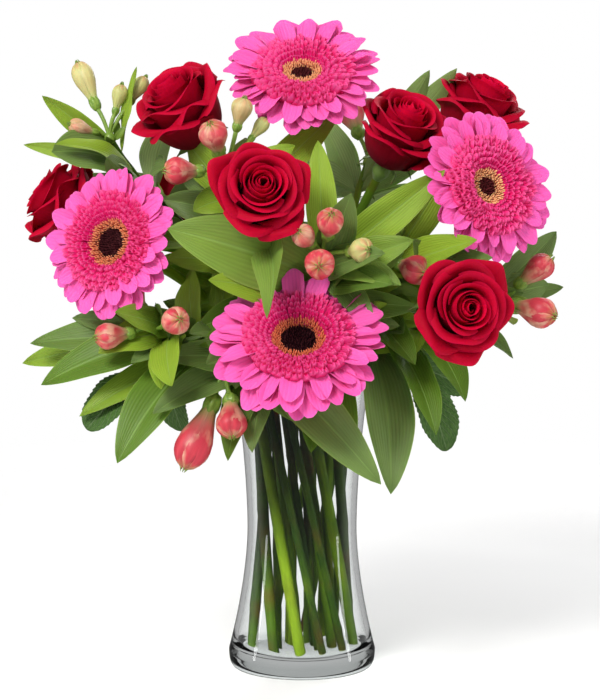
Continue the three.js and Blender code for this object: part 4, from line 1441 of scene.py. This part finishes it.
class BOUQUET_OT_roses(bpy.types.Operator):
    """Grow the roses"""

    bl_idname = "bouquet.roses"
    bl_label = "Roses"

    def execute(self, context):
        settings = context.scene.bouquet_rose
        petal, sepal = rose_finish(settings), sepal_finish(settings)
        bark = stem_finish("rose_stem", settings.stem, (0.035, 0.08, 0.008), 10, 0.8)
        thorn = seedling("thorn", self.thorn())
        thorns = thorn_growth()
        for order, (name, _, _, head, turn, lift, spin) in enumerate(ROSES):
            chance = np.random.default_rng(100 + order)
            place = pose(head, facing(turn, lift), spin)
            draft = Draft()
            draft.place = place @ Matrix.Scale(ROSE_SIZES.get(name, USUAL_BLOOM), 4)
            heart = np.linspace(0, HEART_END, HEART_PETALS)
            cup = np.linspace(CUP_START, 1, settings.petals - HEART_PETALS)
            for number, share in enumerate((*heart, *cup)):
                # the tone holds how far out the petal grows; the rose finish paints the heart's petals
                # lighter by it, a painted light
                draft.tone = share + 0.05 * chance.uniform()
                angle = number * GOLDEN_TURN + chance.uniform(-0.15, 0.15)
                draft.shell(rose_petal(share, angle, chance), 0.4)
            draft_piece(draft, f"rose_{name}_petals", [petal], f"rose_{name}_bloom")
            draft_piece(self.calyx(place, chance), f"rose_{name}_sepals", [sepal],
                        f"rose_{name}_calyx")
            self.stem(name, order, bark, thorn, thorns)
        clear_seedlings([thorn])
        return {"FINISHED"}

    def thorn(self):
        """A thorn that stands off along +X with its point bent down."""
        draft = Draft()
        reach = np.array([0, 1.4, 2.8, 4.0])
        line = np.stack([ROSE_STEM - 0.9 + reach, 0 * reach, -0.16 * reach**2], -1)
        draft.stalk(line, np.array([1.5, 0.9, 0.45, 0.08]), 6)
        return draft

    def calyx(self, place, chance):
        """The hip and the five sepals under a bloom."""
        draft = Draft()
        draft.place = place
        foot = -ROSE_HEIGHT / 2 - CALYX_DEPTH - 1.5
        draft.lathe([
            (2.4, foot), (3.1, foot + 1.5), (4.4, foot + 4), (5.3, foot + 6.5), (5.2, foot + 9),
            (4.6, foot + 11.5), (5.4, foot + 13.5), (6.5, foot + 15.5), (3.0, foot + 17.5),
        ], around=24)
        for number in range(5):
            ray = spoke(number * 2 * math.pi / 5 + chance.uniform(-0.15, 0.15))
            reach, drop = chance.uniform(15, 22), chance.uniform(-10, -1)
            root = ray * 4.2 + UP * (foot + 13)
            tip = ray * reach + UP * (foot + 13 + drop)
            habit = (chance.uniform(0.2, 0.5), chance.uniform(-0.8, 0.8), 0.4, 0)
            draft.shell(blade(root, tip, 7.5, 0, 7, sepal_outline, habit, 13, 5), 0.5)
        return draft

    def stem(self, name, order, bark, thorn, thorns):
        """A stem with thorns along its free part."""
        path = stem_line("rose", name)
        draft = stem_draft(path, 5, 0.13 * order, ROSE_STEM, 12, 1.7, 5, 0.12)
        thing = new_object(f"rose_{name}_stalk", draft.mesh("stalk", [bark]))
        guide_mesh = bpy.data.meshes.new("guide")
        high = path.free[6:-6] * MM
        guide_mesh.from_pydata(high.tolist(), [(i, i + 1) for i in range(len(high) - 1)], [])
        guide = new_object("seedling_path", guide_mesh)
        grow(thing, thorns, piece=thorn, path=guide, count=6, size=1.0, size_spread=0.25,
             seed=order, material=bark)
        settle(grown(thing, Matrix.Identity(4)), f"rose_{name}_stem")
        clear_seedlings([guide])


# ---- alstroemerias

# how much longer and slimmer the buds are than their rows in the table
BUD_STRETCH, BUD_SLIMNESS = 1.22, 0.94
# A closed bud's outline from its neck to its tip, as shares of its length and radius.
BUD_SHARES = (0, 0.12, 0.3, 0.5, 0.68, 0.82, 0.92, 0.97, 1)
BUD_OUTLINE = (0.4, 0.46, 0.68, 0.92, 1.0, 0.88, 0.6, 0.34, 0.1)


def bud_tepal(size, radius, phase, half_turn, swell, droop):
    """The outer face of one of the six petals that wrap a bud, widest near their tips."""
    v, u = face_grid(15, 9)
    outline = np.interp(v, BUD_SHARES, BUD_OUTLINE)
    keel = 1 + 0.05 * (1 - np.abs(u)) ** 1.5 - 0.035 * u * u
    bulge = radius * outline * keel + swell * (1 - v**6) + droop * u * v
    width = np.interp(v, (0, 0.4, 0.75, 0.92, 1), (0.8, 0.95, 1.0, 0.8, 0.3))
    angle = phase + u * half_turn * width
    height = size * (-0.34 + (0.84 - 0.07 * u * u) * v)
    return polar(bulge, angle, height)


# the height at which a leaf has its usual tone, and how much lighter it is painted for each mm above
# it: painted light up high and painted shade on the low leaves under the bouquet
PAINTED_LIGHT_MIDDLE = 215
PAINTED_LIGHT_PER_MM = 0.004
# Leaves that fill a whorl up: how many places a stem has for them and how often each is
# tried, how far they keep from the axis of a rose and, as a share of its radius, of a gerbera,
# from how far behind the bloom to how far before it, how far they keep from the vase, how low
# they hang and how far out and up they reach.
FILL_LEAVES = 18
ATTEMPTS = 9
ROSE_ROOM = 30
GERBERA_ROOM = 0.95
BEHIND_BLOOM, BEFORE_BLOOM = -12, 70
VASE_ROOM = 50
LOWEST_LEAF = 120
FARTHEST_TIP = (150, 122, 352)


def stays_clear(root, tip):
    """Whether a leaf from root to tip keeps off the blooms, what they face and the vase."""
    shares = np.linspace(0.3, 1, 8)[:, None]
    points = root + (tip - root) * shares + UP * 6 * np.sin(shares * math.pi)
    heads = [(*row[3:6], row[6] * GERBERA_ROOM) for row in GERBERAS]
    heads += [(*row[3:6], ROSE_ROOM) for row in ROSES]
    for centre, turn, lift, radius in heads:
        axis = facing(turn, lift)
        offset = points - np.array(centre)
        height = offset @ axis
        aside = np.linalg.norm(offset - height[:, None] * axis, axis=1)
        if np.any((height > BEHIND_BLOOM) & (height < BEFORE_BLOOM) & (aside < radius)):
            return False
    level = np.linalg.norm(points[:, :2], axis=1)
    at_vase = np.any((points[:, 2] < MOUTH_HEIGHT + 10) & (level < VASE_ROOM))
    inside = np.all(np.abs(tip[:2]) < FARTHEST_TIP[:2]) and tip[2] < FARTHEST_TIP[2]
    return bool(inside and not at_vase and points[:, 2].min() >= LOWEST_LEAF)


class BOUQUET_OT_alstroemerias(bpy.types.Operator):
    """Grow the alstroemeria stems with their buds and leaves"""

    bl_idname = "bouquet.alstroemerias"
    bl_label = "Alstroemerias"

    def execute(self, context):
        settings = context.scene.bouquet_alstroemeria
        leaf, tepal, green = leaf_finish(settings), bud_finish(settings), ovary_finish(settings)
        skin = stem_finish("alstroemeria_stem", (0.13, 0.24, 0.008), (0.025, 0.07, 0.004), 12, 0.45)
        for order, (key, flower) in enumerate(ALSTROEMERIAS.items()):
            name = "alstroemeria_" + key
            chance = np.random.default_rng(200 + order)
            path = stem_line("alstroemeria", key)
            stalk = stem_draft(path, 4, chance.uniform(), LILY_STEM, 10, 1.3, 9, 0.14)
            draft_piece(stalk, name + "_stalk", [skin], name + "_stem")
            blades = self.leaves(path, flower["leaves"], chance)
            draft_piece(blades, name + "_blades", [leaf], name + "_leaves")
            buds = self.umbel(flower, chance)
            draft_piece(buds, name + "_buds", [tepal, green], name + "_umbel")
        return {"FINISHED"}

    def leaves(self, path, rows, chance):
        """The leaves of the table, then smaller ones that fill the whorl where there is room."""
        draft = Draft()
        for share, tip, width, roll, arch, *bow in rows:
            point, along = path.at(share)
            self.leaf(draft, point, along, np.array(tip, float), width, roll, arch, chance, *bow)
        start = chance.uniform(0, 6)
        for number in range(FILL_LEAVES):
            share = 0.06 + 0.84 * number / FILL_LEAVES
            point, along = path.at(share)
            for attempt in range(ATTEMPTS):
                ray = spoke(start + number * GOLDEN_TURN + attempt * 0.7)
                away = unit(point * (1, 1, 0) + (0.01, 0.01, 0))
                way = unit(ray + 0.8 * away + UP * chance.uniform(-0.45, 0.75))
                tip = point + way * chance.uniform(42, 72)
                width, arch = chance.uniform(18, 28), chance.uniform(7, 14)
                if stays_clear(point, tip):
                    self.leaf(draft, point, along, tip, width, chance.uniform(-25, 25), arch, chance)
                    break
        return draft

    def leaf(self, draft, point, along, tip, width, roll, arch, chance, bow=0):
        """A leaf that grows at a point of the stem; the higher it reaches the lighter it is painted, a
        painted light on the high leaves and painted shade on the low ones.
        """
        away = tip - point
        away = unit(away - along * (away @ along))
        habit = (chance.uniform(0.15, 0.55), chance.uniform(-0.6, 0.6),
                 chance.uniform(0.4, 1.2), chance.uniform(0, 6))
        # painted light and shade: the tone is random, plus lighter the higher the leaf's tip reaches
        draft.tone = chance.uniform() + PAINTED_LIGHT_PER_MM * (tip[2] - PAINTED_LIGHT_MIDDLE)
        root = point + away * LILY_STEM * 0.6
        draft.shell(blade(root, tip, width, roll, arch, lance_outline, habit, bow=bow), 0.45)

    def umbel(self, flower, chance):
        """The knot at the end of a stem, its four small leaves and its buds."""
        draft = Draft()
        _, _, hub, turn, lift = flower["stem"]
        axis = facing(turn, lift)
        hub = np.array(hub, float)
        knot = hub + axis * 3
        draft.slot = 1
        draft.place = pose(hub, axis)
        draft.lathe([(2.0, -1), (3.2, 1), (3.3, 3.5), (2.2, 5.2), (0.6, 6)], around=12)
        for number in range(4):
            ray = spoke(number * GOLDEN_TURN + chance.uniform(-0.3, 0.3))
            habit = (0.35, chance.uniform(-0.5, 0.5), 0.2, 0)
            tip = ray * chance.uniform(9, 15) + UP * chance.uniform(4, 12)
            draft.shell(blade(ray * 2, tip, 4.5, 0, 2, lance_outline, habit, 11, 5), 0.35)
        for centre, size, radius, ripeness in flower["buds"]:
            self.bud(draft, knot, axis, np.array(centre, float), size, radius, ripeness, chance)
        return draft

    def bud(self, draft, knot, axis, centre, size, radius, ripeness, chance):
        """A bud on its stalk: a ribbed green neck and six petals, each with a green tip."""
        way = unit(centre - knot)
        size, radius = size * BUD_STRETCH, radius * BUD_SLIMNESS
        foot = centre - way * size * 0.5
        draft.place = Matrix.Identity(4)
        draft.slot = 1
        bend = unit(np.cross(way, axis) + 0.01) * 2 + axis * 3
        line = bezier([knot, (knot + foot) / 2 + bend, foot], np.linspace(0, 1, 12))
        draft.stalk(line, np.linspace(1.15, 1.4, 12), 8)
        draft.place = pose(centre, way, chance.uniform(0, 120))
        low = -size / 2
        neck = 0.48 * radius
        draft.lathe([
            (1.2, low - 1.2), (neck * 0.75, low), (neck, low + size * 0.07),
            (neck * 1.04, low + size * 0.15), (neck * 0.86, low + size * 0.24),
        ], around=24, ribs=6, depth=0.1)
        heart = size * (np.array(BUD_SHARES) * 0.8 - 0.34)
        draft.slot = 0
        draft.tone = ripeness
        draft.lathe(np.stack([radius * np.array(BUD_OUTLINE) * 0.84, heart], -1), around=16)
        for layer, (spread, swell) in enumerate(((64, -0.5), (66, 0.0))):
            for number in range(3):
                phase = (number + layer / 2) * 2 * math.pi / 3 + chance.uniform(-0.12, 0.12)
                droop = chance.uniform(-0.5, 0.5)
                draft.slot, draft.tone = 0, ripeness + chance.uniform(-0.08, 0.08)
                half_turn = math.radians(spread * chance.uniform(0.92, 1.08))
                draft.shell(bud_tepal(size, radius, phase, half_turn, swell, droop), 0.4)
                draft.slot = 1
                ray = spoke(phase)
                root = ray * radius * 0.24 + UP * size * 0.468
                tip = ray * radius * 0.12 + UP * (size * 0.5 + 1.4)
                draft.stalk(np.array([root, (root + tip) / 2, tip]), np.array([0.45, 0.3, 0.08]), 6)


# ---- rose leaves

class BOUQUET_OT_rose_leaves(bpy.types.Operator):
    """Grow the two toothed leaf sprays on the rose stems"""

    bl_idname = "bouquet.rose_leaves"
    bl_label = "Rose leaves"

    def execute(self, context):
        settings = context.scene.bouquet_rose
        look = rose_leaf_finish(settings)
        for order, (name, spray) in enumerate(ROSE_LEAVES.items()):
            chance = np.random.default_rng(300 + order)
            root, end = np.array(spray["root"], float), np.array(spray["end"], float)
            free = stem_line("rose", spray["stem"]).free
            joint = free[np.linalg.norm(free - root, axis=1).argmin()]
            draft = Draft()
            line = bezier([joint, root + UP * 4, end], np.linspace(0, 1, 20))
            draft.stalk(line, np.linspace(1.5, 0.8, 20), 8)
            for share, tip, width in spray["leaflets"]:
                base = root + (end - root) * share
                near = line[np.linalg.norm(line - base, axis=1).argmin()]
                habit = (chance.uniform(0.1, 0.3), chance.uniform(-0.3, 0.3), 0.8, chance.uniform(0, 6))
                draft.tone = chance.uniform()
                face = blade(near, np.array(tip, float), width, 0, 4, leaflet_outline, habit, 61, 11)
                draft.shell(face, 0.4)
            draft_piece(draft, f"rose_spray_{name}", [look], f"rose_leaf_{name}")
        return {"FINISHED"}


# ---- stage

# name, place, size, power in watts, colour
LAMPS = (
    ("key", (-0.7, -1.2, 1.25), (0.6, 0.6), 25, (1, 0.985, 0.96)),
    ("fill", (1.2, -0.9, 0.6), (0.8, 1.0), 5, (0.97, 0.98, 1)),
    ("rim", (0.4, 1.2, 1.0), (0.8, 0.8), 8, (1, 1, 1)),
    ("strip_left", (-1.0, -0.2, 0.3), (0.1, 0.8), 1.8, (1, 1, 1)),
    ("strip_right", (1.0, -0.2, 0.3), (0.1, 0.8), 1.8, (1, 1, 1)),
)
LAMP_AIM = Vector((0, 0, 0.22))
# brightness of the room as a light, the share of it that a gloss loses, and the backdrop's
# brightness after a reflection inside one wall and what it gains behind the vase
ROOM_LIGHT = 0.7
GLOSS_LOSS = 0.88
ONE_WALL = 0.18
ONE_WALL_BEHIND = 0.34
# the lens in mm and how far the camera stands to the side, in metres
LENS = 121.8
CAMERA_ASIDE = -0.0012


def aim(thing, target):
    thing.rotation_euler = (target - thing.location).to_track_quat("-Z", "Y").to_euler()


class BOUQUET_OT_stage(bpy.types.Operator):
    """Set the floor, the light and the camera"""

    bl_idname = "bouquet.stage"
    bl_label = "Stage"

    def execute(self, context):
        scene = context.scene
        settings = scene.bouquet_stage
        scene.view_settings.view_transform = "Standard"
        draft = Draft()
        draft.lathe([(10, -4), (960, -4), (1000, -2), (960, 0), (300, 0), (10, 0)], around=96)
        floor = new_object("floor", draft.mesh("floor", [floor_finish(settings)]))
        floor.visible_glossy = False
        floor.visible_transmission = False
        for name, place, size, power, tint in LAMPS:
            light = bpy.data.lights.new(name, "AREA")
            light.shape = "RECTANGLE"
            light.size, light.size_y = size
            light.energy = power
            light.color = tint
            lamp = new_object(name, light)
            lamp.visible_transmission = False
            lamp.visible_glossy = name != "fill"
            lamp.location = place
            aim(lamp, LAMP_AIM)
        self.world(scene)
        self.camera(scene, settings)
        return {"FINISHED"}

    def world(self, scene):
        """White for the eye and straight through the glass, greyer after a reflection inside
        one wall, less so behind the vase, and a dimmer room for light and gloss."""
        world = bpy.data.worlds.new("studio")
        scene.world = world
        world.use_nodes = True
        tree = Tree(world.node_tree)
        x, y, _ = tree.split(tree.add("ShaderNodeTexCoord", output="Generated"))
        side = tree.ease(tree.math("ABSOLUTE", x), 0.4, 0.8)
        gloss = tree.light_path("Is Glossy Ray")
        room = (ROOM_LIGHT - 0.5 * ROOM_LIGHT * side) * (1 - GLOSS_LOSS * gloss)
        turned = tree.light_path("Glossy Depth") + tree.light_path("Diffuse Depth")
        straight = tree.clamp(1 - turned)
        behind = tree.ease(y, 0, 0.3)
        walls = tree.light_path("Transmission Depth")
        one_wall = (ONE_WALL + ONE_WALL_BEHIND * behind) * tree.clamp(3 - walls)
        glass = tree.light_path("Is Transmission Ray") * tree.larger(straight, one_wall)
        strength = tree.larger(room, tree.larger(tree.light_path("Is Camera Ray"), glass))
        background = world.node_tree.nodes["Background"]
        background.inputs["Color"].default_value = (1, 1, 1, 1)
        tree.plug(background.inputs["Strength"], strength)

    def camera(self, scene, settings):
        data = bpy.data.cameras.new("camera")
        data.sensor_width = 36
        data.lens = LENS
        camera = new_object("camera", data)
        camera.location = (CAMERA_ASIDE, -settings.reach, settings.eye_height)
        aim(camera, Vector((CAMERA_ASIDE, 0, settings.aim_height)))
        scene.camera = camera


# ---- panel and registration

PARTS = (
    BOUQUET_OT_stage, BOUQUET_OT_vase, BOUQUET_OT_gerberas, BOUQUET_OT_roses,
    BOUQUET_OT_alstroemerias, BOUQUET_OT_rose_leaves,
)
SETTINGS = {
    "bouquet_vase": VaseSettings, "bouquet_gerbera": GerberaSettings, "bouquet_rose": RoseSettings,
    "bouquet_alstroemeria": AlstroemeriaSettings, "bouquet_stage": StageSettings,
}


class BOUQUET_PT_parts(bpy.types.Panel):
    bl_label = "Bouquet"
    bl_idname = "BOUQUET_PT_parts"
    bl_space_type = "VIEW_3D"
    bl_region_type = "UI"
    bl_category = "Bouquet"

    def draw(self, context):
        for part in PARTS:
            self.layout.operator(part.bl_idname)
        for name, group in SETTINGS.items():
            box = self.layout.box()
            for key in group.__annotations__:
                box.prop(getattr(context.scene, name), key)


def register():
    for name, group in SETTINGS.items():
        bpy.utils.register_class(group)
        setattr(bpy.types.Scene, name, bpy.props.PointerProperty(type=group))
    for part in (*PARTS, BOUQUET_PT_parts):
        bpy.utils.register_class(part)


def unregister():
    for part in (*PARTS, BOUQUET_PT_parts):
        bpy.utils.unregister_class(part)
    for name, group in SETTINGS.items():
        delattr(bpy.types.Scene, name)
        bpy.utils.unregister_class(group)


def main():
    """Builds every part."""
    register()
    bpy.ops.bouquet.stage()
    bpy.ops.bouquet.vase()
    bpy.ops.bouquet.gerberas()
    bpy.ops.bouquet.roses()
    bpy.ops.bouquet.alstroemerias()
    bpy.ops.bouquet.rose_leaves()


if __name__ == "__main__":
    main()
